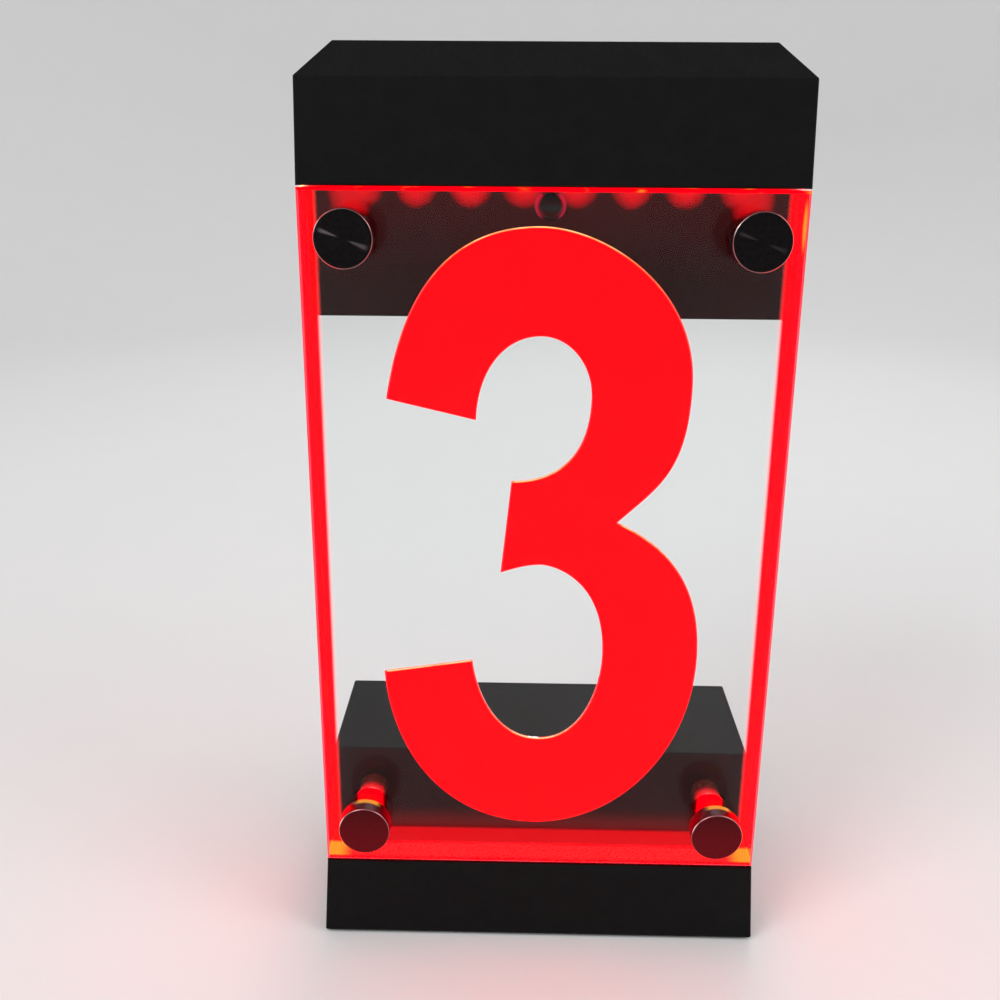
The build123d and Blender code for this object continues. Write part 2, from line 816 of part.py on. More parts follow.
def make_led_carrier():
    """Aluminium channel that presses on the window and holds the LED board, with two screw tabs."""
    d = (light_depth - window_depth / 2, light_depth + window_depth / 2)
    channel = block((-window_length / 2, window_length / 2), d, (window_top, carrier_top))
    room = (d[0] + carrier_wall, d[1] - carrier_wall)
    channel -= block((-window_length / 2 - 1, window_length / 2 + 1), room, (window_top - 1, led_board_top))
    for x in (-carrier_screw_spread / 2, carrier_screw_spread / 2):
        tab_x = (x - carrier_tab_width / 2, x + carrier_tab_width / 2)
        tab_d = (d[1] - carrier_wall, d[1] + carrier_tab_length)
        channel += block(tab_x, tab_d, (led_board_top, carrier_top))
        hole = (led_board_top - 1, carrier_top + 1)
        channel -= post(x, carrier_screw_depth(), hole, small_screw_diameter + 2 * fit_clearance)
    lead_hole = post(led_lead_x(), light_depth, (led_board_top - 1, carrier_top + 1), 2 * lead_diameter)
    return channel - lead_hole


def led_lead_x():
    """The x where the LED lead leaves the LED board, near its left end."""
    return -led_board_length / 2 + 3.0


def make_led_board():
    """Narrow board glued under the channel."""
    d = (light_depth - led_board_depth / 2, light_depth + led_board_depth / 2)
    return block((-led_board_length / 2, led_board_length / 2), d, (led_board_bottom, led_board_top))


def make_led(number):
    """One LED package with a shallow round lens facing down."""
    x = (number - (led_count - 1) / 2) * led_pitch
    half = led_size / 2
    lens_top = led_bottom + led_lens_height
    d = (light_depth - half, light_depth + half)
    body = block((x - half, x + half), d, (lens_top, led_board_bottom))
    return body + post(x, light_depth, (led_bottom, lens_top), led_lens_diameter)


def make_carrier_screw(x):
    """Screw that holds a tab of the LED carrier to its boss."""
    length = small_screw_length - 1.0
    return screw(x, carrier_screw_depth(), carrier_top, length, False, small_screw_sizes)


# ---- Dusk sensor ----
def make_sensor_dome():
    """Clear dome through the wall behind the plate, with a flange inside and a hollow for the element."""
    radius = dome_diameter / 2
    flange_back = inner_wall_depth + dome_flange_thickness
    ball_depth = wall_depth - dome_stand_out + radius
    dome = rod(0, sensor_z, (ball_depth, inner_wall_depth), dome_diameter)
    dome += rod(0, sensor_z, (inner_wall_depth, flange_back), dome_flange_diameter)
    dome += Pos(0, depth(ball_depth), sensor_z) * Sphere(radius)
    dome -= rod(0, sensor_z, (ball_depth, flange_back), dome_diameter - 2 * dome_wall)
    return dome - Pos(0, depth(ball_depth), sensor_z) * Sphere(radius - dome_wall)


def make_sensor_ring():
    """Ring that the sensor board presses on the dome's flange."""
    d = (inner_wall_depth + dome_flange_thickness, sensor_board_depth)
    return ring(0, sensor_z, d, sensor_ring_diameter, dome_diameter - 2 * dome_wall)


def make_sensor_element():
    """Round light and motion sensor on the board, its end inside the dome."""
    d = (sensor_board_depth - sensor_element_length, sensor_board_depth)
    return rod(0, sensor_z, d, sensor_element_diameter)


def make_sensor_board():
    """Small board across the two bosses behind the dome."""
    half = sensor_board_width / 2
    z = (sensor_z - sensor_board_height / 2, sensor_z + sensor_board_height / 2)
    board = block((-half, half), (sensor_board_depth, sensor_board_depth + board_thickness), z)
    for x in sensor_screw_x():
        hole = (sensor_board_depth - 1, sensor_board_depth + board_thickness + 1)
        board -= rod(x, sensor_z, hole, small_screw_diameter + 2 * fit_clearance)
    return board


def make_sensor_screw(x):
    """Screw through the sensor board into its boss."""
    back = sensor_board_depth + board_thickness
    shank = rod(x, sensor_z, (back - small_screw_length, back), small_screw_diameter)
    head = rod(x, sensor_z, (back, back + small_screw_head_height), small_screw_head)
    socket = (back + small_screw_head_height / 2, back + small_screw_head_height)
    return shank + head - rod(x, sensor_z, socket, small_screw_diameter * 0.8)


# ---- Control board and what is on it ----
def make_control_board():
    """Board that hangs under four roof bosses."""
    half = board_width / 2
    board = block((-half, half), (board_front_depth, board_back_depth), (board_bottom, board_top))
    for x, d in board_screws:
        board -= post(x, d, (board_bottom - 1, board_top + 1), small_screw_diameter + 2 * fit_clearance)
    return board


def board_at(share):
    """Depth of a place on the control board, as a share of the way from its front edge to its back."""
    return board_front_depth + share * board_depth


def on_board(x, d, width, length, height):
    """Block-shaped component on top of the control board, by its middle."""
    depths = (d - length / 2, d + length / 2)
    return block((x - width / 2, x + width / 2), depths, (board_top, board_top + height))


def make_chips():
    """The LED driver, the charger and the controller."""
    return [
        on_board(-board_width / 8, board_at(0.48), board_width / 8, chip_size, chip_height),
        on_board(board_width / 12, board_at(0.36), 0.7 * chip_size, 0.6 * chip_size, chip_height),
        on_board(port_x, board_at(0.51), chip_size, chip_size, chip_height),
    ]


def make_inductor():
    """Power inductor with rounded corners."""
    body = on_board(board_width / 12, board_at(0.66), inductor_size, inductor_size, inductor_height)
    return fillet(body.edges().filter_by(Axis.Z), inductor_size / 4)


def make_capacitors():
    """Two round capacitors, side by side behind the driver."""
    height = (board_top, board_top + capacitor_height)
    places = (-board_width / 8 - board_width / 18, -board_width / 8 + board_width / 18)
    return [post(x, board_at(0.69), height, capacitor_diameter) for x in places]


def make_usb_port():
    """Charging socket: rounded metal shell with a tongue, its mouth facing the plug hole."""
    half = port_body_width / 2
    d = (port_mouth_depth - port_body_length, port_mouth_depth)
    shell = block((port_x - half, port_x + half), d, (board_top, board_top + port_body_height))
    shell = fillet(shell.edges().filter_by(Axis.Y), port_corner)
    room = block(
        (port_x - half + port_wall, port_x + half - port_wall),
        (d[0] + port_body_length / 5, d[1] + 1),
        (board_top + port_wall, board_top + port_body_height - port_wall),
    )
    room = fillet(room.edges().filter_by(Axis.Y), port_corner - port_wall)
    tongue_x = (port_x - half + port_corner, port_x + half - port_corner)
    tongue_z = (port_z - port_tongue_thickness / 2, port_z + port_tongue_thickness / 2)
    tongue = block(tongue_x, (d[0] + port_wall, d[1] - 2 * port_wall), tongue_z)
    return shell - room + tongue


def make_tact_switch():
    """Side-pressed switch at the board's back edge, with a bore for its plunger."""
    x = (button_x - switch_width / 2, button_x + switch_width / 2)
    d = (board_back_depth - switch_depth, board_back_depth)
    body = block(x, d, (board_top, board_top + port_body_height))
    bore = (board_back_depth - switch_bore_depth, board_back_depth + 1)
    return body - rod(button_x, port_z, bore, switch_plunger_diameter + 2 * fit_clearance)


def plunger_end():
    """Depth of the plunger's outer end, where the button's stem meets it."""
    return board_back_depth - switch_bore_depth + button_travel + 2 * fit_clearance + switch_plunger_length


def make_switch_plunger():
    """Plunger that slides in the switch and follows the button."""
    d = (plunger_end() - switch_plunger_length, plunger_end())
    return rod(button_x, port_z, d, switch_plunger_diameter)


def make_power_button():
    """Round button with a retaining flange inside the wall and a stem down to the plunger."""
    flange = (inner_back_depth - button_flange_thickness, inner_back_depth)
    button = rod(button_x, port_z, (flange[0], housing_depth - button_recess), button_diameter)
    front = button.faces().sort_by(Axis.Y)[-1]
    button = fillet(front.edges(), 0.5)
    button += rod(button_x, port_z, flange, button_flange_diameter)
    return button + rod(button_x, port_z, (plunger_end(), flange[0]), button_stem_diameter)


def make_board_screw(x, d):
    """Screw up through the control board into a roof boss."""
    return screw(x, d, board_bottom, small_screw_length, True, small_screw_sizes)


def make_connector(x, d):
    """Lead connector under the control board."""
    half = connector_width / 2
    near = d - connector_depth / 2
    z = (board_bottom - connector_height, board_bottom)
    return block((x - half, x + half), (near, near + connector_depth), z)


# ---- Hinged flap over the charging port ----
def make_port_flap():
    """Flap with a rounded top edge round its pin and a nail notch at the bottom."""
    half = flap_width / 2
    x = (port_x - half, port_x + half)
    flap = block(x, (flap_inner_depth, flap_outer_depth), (flap_bottom, flap_pin_z))
    flap += bar(x, flap_pin_depth, flap_pin_z, flap_thickness)
    notch_x = (port_x - nail_notch_width / 2, port_x + nail_notch_width / 2)
    notch_d = (flap_outer_depth - nail_notch_depth, flap_outer_depth + 1)
    flap -= block(notch_x, notch_d, (flap_bottom - 1, flap_bottom + nail_notch_height))
    return flap - bar((x[0] - 1, x[1] + 1), flap_pin_depth, flap_pin_z, flap_pin_diameter + fit_clearance)


def make_flap_pin():
    """Pin through the flap and into both sides of its recess."""
    half = flap_width / 2 + flap_pin_end - fit_clearance
    return bar((port_x - half, port_x + half), flap_pin_depth, flap_pin_z, flap_pin_diameter)


# ---- Battery ----
def make_battery_holder():
    """Tray for two cells, one above the other, open to the back."""
    x = (-holder_length / 2, holder_length / 2)
    tray = block(x, (holder_front_depth, holder_back_depth), (cover_top, holder_top))
    for z in cell_z:
        tray -= bar((-cell_room / 2, cell_room / 2), cell_depth, z, cell_pocket_diameter)
        half = cell_pocket_diameter / 2
        way_out = (cell_depth, holder_back_depth + 1)
        tray -= block((-cell_room / 2, cell_room / 2), way_out, (z - half, z + half))
    bore = small_screw_diameter + fit_clearance
    for screw_x, d in holder_screws():
        tray -= post(screw_x, d, (cover_top - 1, cover_top + small_screw_length), bore)
    return tray


def make_cell(number):
    """Round cell with its raised button, the two cells facing opposite ways."""
    z = cell_z[number]
    side = 1 if number else -1
    half = cell_length / 2
    can = bar(sorted((-side * half, side * (half - cell_button_height))), cell_depth, z, cell_diameter)
    can = fillet(can.edges(), cell_rim)
    return can + bar(sorted((0, side * half)), cell_depth, z, cell_button_diameter)


def make_contact(side, z):
    """Bowed leaf between the holder's end wall and the end of a cell."""
    wall = side * cell_room / 2
    tip = side * (cell_length / 2 + fit_clearance / 2)
    near = depth(cell_depth) - contact_half_span
    far = depth(cell_depth) + contact_half_span
    inner_wall = wall - side * contact_strip
    outer = ThreePointArc((wall, near), (tip + side * contact_strip, depth(cell_depth)), (wall, far))
    inner = ThreePointArc((inner_wall, near), (tip, depth(cell_depth)), (inner_wall, far))
    ends = [Line(outer @ 0, inner @ 0), Line(outer @ 1, inner @ 1)]
    leaf = Face(Wire([curve.edge() for curve in (outer, inner, *ends)]))
    return Pos(0, 0, z - contact_width / 2) * extrude(leaf, amount=contact_width, dir=(0, 0, 1))


def make_battery_door():
    """Door in the back wall, hinged at its rounded bottom edge, with a nail notch at the top."""
    x = (-door_width / 2, door_width / 2)
    door = block(x, (door_inner_depth, door_outer_depth), (door_pin_z, door_top))
    door += bar(x, door_pin_depth, door_pin_z, door_thickness)
    notch_x = (-nail_notch_width, nail_notch_width)
    notch_d = (door_outer_depth - nail_notch_depth, door_outer_depth + 1)
    door -= block(notch_x, notch_d, (door_top - nail_notch_height, door_top + 1))
    return door - bar((x[0] - 1, x[1] + 1), door_pin_depth, door_pin_z, door_pin_diameter + fit_clearance)


def make_door_pin():
    """Pin through the door's bottom edge and into both sides of its recess."""
    half = door_width / 2 + door_pin_end - fit_clearance
    return bar((-half, half), door_pin_depth, door_pin_z, door_pin_diameter)


def make_door_gasket():
    """Soft seal on the ledge that the closed door rests on."""
    d = (door_seat_depth, door_inner_depth)
    return cell_opening(gasket_width, d) - cell_opening(0, d)


# ---- Leads ----
def make_led_lead():
    """Lead from the LED board, over the sensor's side, to a connector on top of the control board."""
    start = led_board_top
    rise = led_lead_rise
    x = led_lead_x()
    end_z = board_top + connector_height / 2
    return lead(
        [
            (x, light_depth, start),
            (x, light_depth, start + rise),
            (x + rise, light_depth + rise, start + 1.5 * rise),
            ((x + led_connector_x) / 2, (light_depth + board_front_depth) / 2, start + 1.5 * rise),
            (led_connector_x - 0.8 * rise, board_front_depth - 1.2 * rise, start + 1.25 * rise),
            (led_connector_x, board_front_depth - 0.7 * rise, end_z),
            (led_connector_x, board_front_depth + connector_edge_gap, end_z),
        ]
    )


def make_led_connector():
    """Connector on the board's front edge that takes the LED lead."""
    return on_board(led_connector_x, led_connector_depth, connector_width, connector_depth, connector_height)


def make_sensor_lead():
    """Lead from the sensor board back and up to its connector."""
    back = sensor_board_depth + board_thickness
    z = sensor_z + sensor_board_height / 2 - sensor_lead_drop
    end_z = board_bottom - connector_height
    return lead([(0, back, z), (0, sensor_lead_depth, z), (0, sensor_lead_depth, end_z)])


def make_battery_lead():
    """Lead from the battery holder's front face up to its connector."""
    x = battery_lead_x
    z = holder_top - battery_lead_drop
    end_z = board_bottom - connector_height
    return lead([(x, holder_front_depth, z), (x, battery_lead_depth, z), (x, battery_lead_depth, end_z)])


# ---- The nodes: each name, with the solid or solids it holds ----
numeral_inlay = make_numeral_inlay()
nodes = {
    "numeral_inlay": numeral_inlay,
    "acrylic_plate": make_acrylic_plate(numeral_inlay),
    "plate_rest_pad": make_rest_pad(),
    "standoff_caps": [make_cap(*place) for place in fixings],
    "cap_washers": [make_cap_washer(*place) for place in fixings],
    "stud_sleeves": [make_sleeve(*place) for place in fixings],
    "standoff_studs": [make_stud(*place) for place in fixings],
    "spacer_washers": [make_spacer_washer(*place) for place in fixings],
    "standoff_spacers": [make_spacer(*place) for place in fixings],
    "nut_washers": [make_nut_washer(*place) for place in fixings],
    "stud_nuts": [make_nut(*place) for place in fixings],
    "base_shell": make_base_shell(),
    "base_cover": make_base_cover(),
    "base_cover_screws": [cover_screw(x, d, base_bottom) for x, d in base_screws],
    "ballast_block": make_ballast(),
    "ballast_screws": [cover_screw(x, d, base_bottom) for x, d in ballast_screws()],
    "rubber_feet": [make_foot(*place) for place in feet()],
    "top_shell": make_top_shell(),
    "underside_cover": make_underside_cover(),
    "underside_screws": [cover_screw(x, d, drop_bottom) for x, d in cover_screws],
    "holder_screws": [holder_screw(*place) for place in holder_screws()],
    "light_window": make_light_window(),
    "led_carrier": make_led_carrier(),
    "carrier_screws": [make_carrier_screw(side * carrier_screw_spread / 2) for side in (-1, 1)],
    "led_board": make_led_board(),
    "leds": [make_led(number) for number in range(led_count)],
    "sensor_dome": make_sensor_dome(),
    "sensor_ring": make_sensor_ring(),
    "sensor_element": make_sensor_element(),
    "sensor_board": make_sensor_board(),
    "sensor_screws": [make_sensor_screw(x) for x in sensor_screw_x()],
    "control_board": make_control_board(),
    "control_chips": make_chips(),
    "power_inductor": make_inductor(),
    "capacitors": make_capacitors(),
    "usb_port": make_usb_port(),
    "tact_switch": make_tact_switch(),
    "board_screws": [make_board_screw(*place) for place in board_screws],
    "lead_connectors": [
        make_connector(0, sensor_lead_depth),
        make_connector(battery_lead_x, battery_lead_depth),
        make_led_connector(),
    ],
    "power_button": make_power_button(),
    "switch_plunger": make_switch_plunger(),
    "port_flap": make_port_flap(),
    "flap_pin": make_flap_pin(),
    "battery_holder": make_battery_holder(),
    "battery_cells": [make_cell(number) for number in range(len(cell_z))],
    "battery_contacts": [make_contact(side, z) for side in (-1, 1) for z in cell_z],
    "battery_door": make_battery_door(),
    "door_pin": make_door_pin(),
    "door_gasket": make_door_gasket(),
    "led_lead": make_led_lead(),
    "sensor_lead": make_sensor_lead(),
    "battery_lead": make_battery_lead(),
}

os.makedirs("parts", exist_ok=True)
for name, shape in nodes.items():
    solids = shape if isinstance(shape, list) else [shape]
    export_step(Compound([solid for piece in solids for solid in piece.solids()]), f"parts/{name}.step")
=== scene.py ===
"""Illuminated house number sign: the finishes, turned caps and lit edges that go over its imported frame.

A thick clear acrylic plate with a frosted red numeral stands between two black moulded housings, and
eight LEDs under the top housing light it from its top edge. Everything is in metres, +Z up, and the front
of the sign faces -Y.
"""

import functools
import math

import bmesh
import bpy
import numpy as np
from mathutils import Matrix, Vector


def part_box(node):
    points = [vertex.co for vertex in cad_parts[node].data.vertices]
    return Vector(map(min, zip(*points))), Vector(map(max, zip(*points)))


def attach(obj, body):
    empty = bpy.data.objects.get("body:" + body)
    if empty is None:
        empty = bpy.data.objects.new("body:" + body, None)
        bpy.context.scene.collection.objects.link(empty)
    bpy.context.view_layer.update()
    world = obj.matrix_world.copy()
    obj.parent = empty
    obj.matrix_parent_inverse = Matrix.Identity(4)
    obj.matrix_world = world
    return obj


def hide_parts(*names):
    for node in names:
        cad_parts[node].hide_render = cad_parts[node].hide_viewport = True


bl_info = {
    "name": "Illuminated House Number Sign",
    "version": (1, 0, 0),
    "blender": (4, 5, 0),
    "location": "3D View > Sidebar > House Sign",
    "description": "Dresses an edge-lit acrylic house number sign and sets it in a plain studio",
    "category": "Object",
}

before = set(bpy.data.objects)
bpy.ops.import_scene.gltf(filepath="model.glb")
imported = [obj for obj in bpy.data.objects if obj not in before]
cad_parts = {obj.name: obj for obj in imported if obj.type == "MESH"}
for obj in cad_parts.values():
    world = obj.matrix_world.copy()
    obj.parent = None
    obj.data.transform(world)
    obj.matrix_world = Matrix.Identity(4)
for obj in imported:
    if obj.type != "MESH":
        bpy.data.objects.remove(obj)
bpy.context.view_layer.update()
MM = 0.001
PLATE_LOW, PLATE_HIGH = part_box("acrylic_plate")
NUMERAL_LOW, NUMERAL_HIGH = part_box("numeral_inlay")
CAPS_LOW, CAPS_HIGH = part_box("standoff_caps")
SPACERS_LOW, SPACERS_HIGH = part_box("standoff_spacers")
LEDS_LOW, LEDS_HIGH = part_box("leds")
DOME_LOW, DOME_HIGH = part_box("sensor_dome")
BASE_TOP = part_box("base_shell")[1].z
# The spacers stand between the plate's back and the front walls of the two housings.
WALL_Y = SPACERS_HIGH.y
# The LEDs stand in one row, each LED_LENGTH long.
LED_COUNT = 8
LED_LENGTH = 5.0 * MM
LED_PITCH = (LEDS_HIGH.x - LEDS_LOW.x - LED_LENGTH) / (LED_COUNT - 1)
# The sensor dome inside its flange.
DOME_RADIUS = 4.8 * MM
CAP_DIAMETER = 17.5 * MM
# The plate's holes, with the caps in front, lie at +-HOLE_X in an upper and a lower pair.
HOLE_X = CAPS_HIGH.x - CAP_DIAMETER / 2
LOWER_HOLE_Z = CAPS_LOW.z + CAP_DIAMETER / 2
UPPER_HOLE_Z = CAPS_HIGH.z - CAP_DIAMETER / 2
HOLE_RADIUS = 4.2 * MM


def linear(hex_colour):
    """An sRGB hex colour as linear red, green and blue. A channel c above 0.04045 becomes
    ((c + 0.055) / 1.055) to the power 2.4, and a darker one becomes c / 12.92."""
    c = np.array([int(hex_colour[i:i + 2], 16) for i in (1, 3, 5)]) / 255
    return tuple(float(v) for v in np.where(c > 0.04045, ((c + 0.055) / 1.055) ** 2.4, c / 12.92))


# ---------------------------------------------------------------- sizes and colours that a user changes

def length(name, description, millimetres, low=0.0, high=1000.0):
    """A length property, given in millimetres and kept in metres."""
    return bpy.props.FloatProperty(
        name=name, description=description, default=millimetres * MM, min=low * MM, max=high * MM,
        precision=5, unit="LENGTH",
    )


def amount(name, description, default, high, unit="NONE"):
    """A strength or power property, from nothing up."""
    return bpy.props.FloatProperty(name=name, description=description, default=default, min=0.0, max=high,
                                   unit=unit)


def colour(name, description, hex_colour):
    """A colour property whose default is an sRGB hex value turned linear."""
    return bpy.props.FloatVectorProperty(
        name=name, description=description, default=linear(hex_colour), min=0.0, max=1.0, size=3,
        subtype="COLOR",
    )


class HouseSignSizes(bpy.types.PropertyGroup):
    """Sizes of the caps and of the numeral's bright edge"""
    cap_diameter: length("Cap Diameter", "Across a turned stand-off cap", CAP_DIAMETER / MM)
    cap_edge_round: length("Cap Edge Round", "Radius of the cap's polished front edge", 0.55, 0.05, 3.0)
    cap_dish: length("Cap Dish", "How far the cap's face sinks to its middle", 0.12, 0.0, 1.0)
    cap_groove_pitch: length("Cap Groove Pitch", "From one turned ring of the cap's face to the next",
                             0.5, 0.1, 3.0)
    edge_line_width: length("Numeral Edge Width", "Width of the bright line round the numeral",
                            0.42, 0.1, 2.0)
    edge_line_proud: length("Numeral Edge Proud", "How far the line stands out of the numeral's side",
                            0.06, 0.0, 0.5)


class HouseSignLight(bpy.types.PropertyGroup):
    """Colours and strengths of the sign's own light"""
    red: colour("LED Red", "The light that the edges and the numeral give off", "#FF0010")
    side_red: colour("Side Red", "The same light in the plate's sides, so bright that no blue is left",
                     "#FF0003")
    deep_red: colour("Deep Red", "What the red light turns black surfaces into", "#640008")
    warm: colour("Warm Red", "Where the light is brightest in the bottom edge", "#FF1C22")
    orange: colour("Orange", "The hot spots near the corners", "#FF9A24")
    pink: colour("Pink", "The thin lines along the polished chamfers", "#FF5468")
    edge_strength: amount("Edge Strength", "How bright the plate's edges are", 1.0, 20.0)
    spill_strength: amount("Spill Strength", "How much more light the plate's sides throw on the ground",
                           6.0, 20.0)
    numeral_strength: amount("Numeral Strength", "How bright the numeral is", 0.85, 20.0)
    glow_strength: amount("Glow Strength", "How bright the light on the housings is", 0.9, 20.0)


class HouseSignStudio(bpy.types.PropertyGroup):
    """The studio round the sign"""
    floor: colour("Floor", "The pale studio floor and its curved wall", "#EAEAEA")
    lens: length("Lens", "The camera's focal length", 40.548, 1.0, 500.0)
    flat_radius: length("Flat Radius", "How far the floor is flat", 1300.0, 300.0, 9000.0)
    wall_height: length("Wall Height", "Height of the studio's round wall", 1500.0, 300.0, 9000.0)
    ambient: amount("Ambient", "Strength of the sky light", 0.55, 10.0)
    key_power: amount("Key Power", "Power of the large soft lamp", 9.0, 1000.0, "POWER")
    fill_power: amount("Fill Power", "Power of the second and third soft lamps", 4.0, 1000.0, "POWER")


# ---------------------------------------------------------------------------------- surfaces

def add_object(name, data):
    """A new object of that name in the scene, at the origin."""
    made = bpy.data.objects.new(name, data)
    bpy.context.scene.collection.objects.link(made)
    return made


def surface_mesh(name, grids, wrap_rows=False, values=None):
    """A smooth mesh of one or more surfaces. Each grid is an array of points (rows, columns, 3) on
    P(row, column), whose columns go once round. A face joins row i, i + 1 and column j, j + 1, counted round
    and so closed. With wrap_rows the rows go once round too. Points that coincide are welded, which closes a
    row that is one point. The UV of a corner is (column / columns, row / rows). Values are named numbers,
    one for each point of the grids in turn."""
    points, faces, uvs, start = [], [], [], 0
    for grid in grids:
        rows, columns, _ = grid.shape
        last = rows if wrap_rows else rows - 1
        i, j = (n.ravel() for n in np.meshgrid(np.arange(last), np.arange(columns), indexing="ij"))
        i2, j2 = (i + 1) % rows, (j + 1) % columns
        corners = np.stack([i * columns + j, i * columns + j2, i2 * columns + j2, i2 * columns + j], axis=1)
        faces.append(corners + start)
        u = np.stack([j, j + 1, j + 1, j], axis=1) / columns
        v = np.stack([i, i, i + 1, i + 1], axis=1) / last
        uvs.append(np.stack([u, v], axis=2).reshape(-1, 2))
        points.append(grid.reshape(-1, 3))
        start += rows * columns
    mesh = bpy.data.meshes.new(name)
    mesh.from_pydata(np.concatenate(points).tolist(), [], np.concatenate(faces).tolist())
    layer = mesh.uv_layers.new(name="surface")
    layer.uv.foreach_set("vector", np.concatenate(uvs).astype(np.float32).ravel())
    for key, numbers in (values or {}).items():
        mesh.attributes.new(key, "FLOAT", "POINT").data.foreach_set("value", numbers.astype(np.float32))
    welded = bmesh.new()
    welded.from_mesh(mesh)
    bmesh.ops.remove_doubles(welded, verts=welded.verts, dist=1e-8)
    welded.to_mesh(mesh)
    welded.free()
    mesh.polygons.foreach_set("use_smooth", np.ones(len(mesh.polygons), bool))
    return mesh


def add_piece(name, mesh, material, body):
    """One piece of the sign: it wears a material and rides on a body."""
    mesh.materials.append(material)
    piece = add_object(name, mesh)
    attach(piece, body)
    return piece


def turned(profile, x, z, columns):
    """A turned form on a line along Y through (x, z). A profile point (r, y) goes round it:
    P = (x + r cos a, y, z + r sin a), with a from 0 to a full turn."""
    a = np.linspace(0, 2 * np.pi, columns, endpoint=False)
    r, y = profile[:, :1], profile[:, 1:]
    return np.stack([x + r * np.cos(a), y + 0 * a, z + r * np.sin(a)], axis=2)


def arc(r, y, radius, first, last, steps):
    """Points (r + radius cos a, y + radius sin a), with a from first to last in degrees."""
    a = np.radians(np.linspace(first, last, steps))
    return np.stack([r + radius * np.cos(a), y + radius * np.sin(a)], axis=1)


# ---------------------------------------------------------------------------------- patterns

# With this setting a MapRange node is a smooth step. Its inputs in order are the value, where the step
# starts and ends, and the results there, which are 0 and 1 unless they are given. It may start above its
# end.
SMOOTH = {"interpolation_type": "SMOOTHSTEP"}
# Most values of a noise lie between these two.
NOISE_RANGE = (0.3, 0.7)
# The colour sockets of a Mix node: how much of the second there is, the first, the second and the result.
SHARE, FIRST, SECOND, MIXED = 0, 6, 7, 2


def add_node(tree, kind, inputs=(), stops=(), **settings):
    """Adds one node of a kind, sets its settings, and gives its inputs, in order or by name or number, a
    number, a colour or a field. Stops are a colour ramp's positions, in rising order, and colours."""
    made = tree.nodes.new("ShaderNode" + kind)
    for key, value in settings.items():
        setattr(made, key, value)
    for key, value in inputs.items() if isinstance(inputs, dict) else enumerate(inputs):
        if isinstance(value, Field):
            tree.links.new(value.node.outputs[value.output], made.inputs[key])
        else:
            is_colour = made.inputs[key].type == "RGBA"
            made.inputs[key].default_value = (*value, 1.0) if is_colour else value
    for place, (position, tone) in enumerate(stops):
        elements = made.color_ramp.elements
        stop = elements[place] if place < 2 else elements.new(position)
        stop.position, stop.color = position, (*tone, 1.0)
    return Field(made)


class Field:
    """A number, colour or direction that varies over a surface: an output of a material's node. An index
    gives another output of the same node. Arithmetic on fields adds the nodes that work it out, so that a
    pattern is written as its formula: a comparison is 1 where it holds and 0 elsewhere, and a | b is the
    larger of the two."""

    def __init__(self, node, output=0):
        self.node = node
        self.output = output
        self.tree = node.id_data

    def __getitem__(self, output):
        return Field(self.node, output)

    def __add__(self, other):
        return add_node(self.tree, "Math", [self, other], operation="ADD")

    def __sub__(self, other):
        return add_node(self.tree, "Math", [self, other], operation="SUBTRACT")

    def __rsub__(self, other):
        return add_node(self.tree, "Math", [other, self], operation="SUBTRACT")

    def __mul__(self, other):
        return add_node(self.tree, "Math", [self, other], operation="MULTIPLY")

    def __truediv__(self, other):
        return add_node(self.tree, "Math", [self, other], operation="DIVIDE")

    def __lt__(self, other):
        return add_node(self.tree, "Math", [self, other], operation="LESS_THAN")

    def __gt__(self, other):
        return add_node(self.tree, "Math", [self, other], operation="GREATER_THAN")

    def __or__(self, other):
        return add_node(self.tree, "Math", [self, other], operation="MAXIMUM")

    def __abs__(self):
        return add_node(self.tree, "Math", [self], operation="ABSOLUTE")


def squares(first, second):
    """The sum of two fields' squares."""
    return first * first + second * second


def along_led(x):
    """From -0.5 to 0.5 across the stretch of plate that each LED lights."""
    return add_node(x.tree, "Math", [x / LED_PITCH], operation="FRACT") - 0.5


# ---------------------------------------------------------------------------------- materials

def new_material(name):
    """An empty node material of that name, what adds nodes to it, and its object coordinates, whole and as
    x, y and z."""
    material = bpy.data.materials.new(name)
    material.use_nodes = True
    material.node_tree.nodes.clear()
    add = functools.partial(add_node, material.node_tree)
    place = add("TexCoord")["Object"]
    parts = add("SeparateXYZ", [place])
    return material, add, place, parts["X"], parts["Y"], parts["Z"]


def finished(material, inputs):
    """The material with one Principled shader, whose inputs are given, joined to its output."""
    shader = add_node(material.node_tree, "BsdfPrincipled", inputs)
    add_node(material.node_tree, "OutputMaterial", {"Surface": shader})
    return material


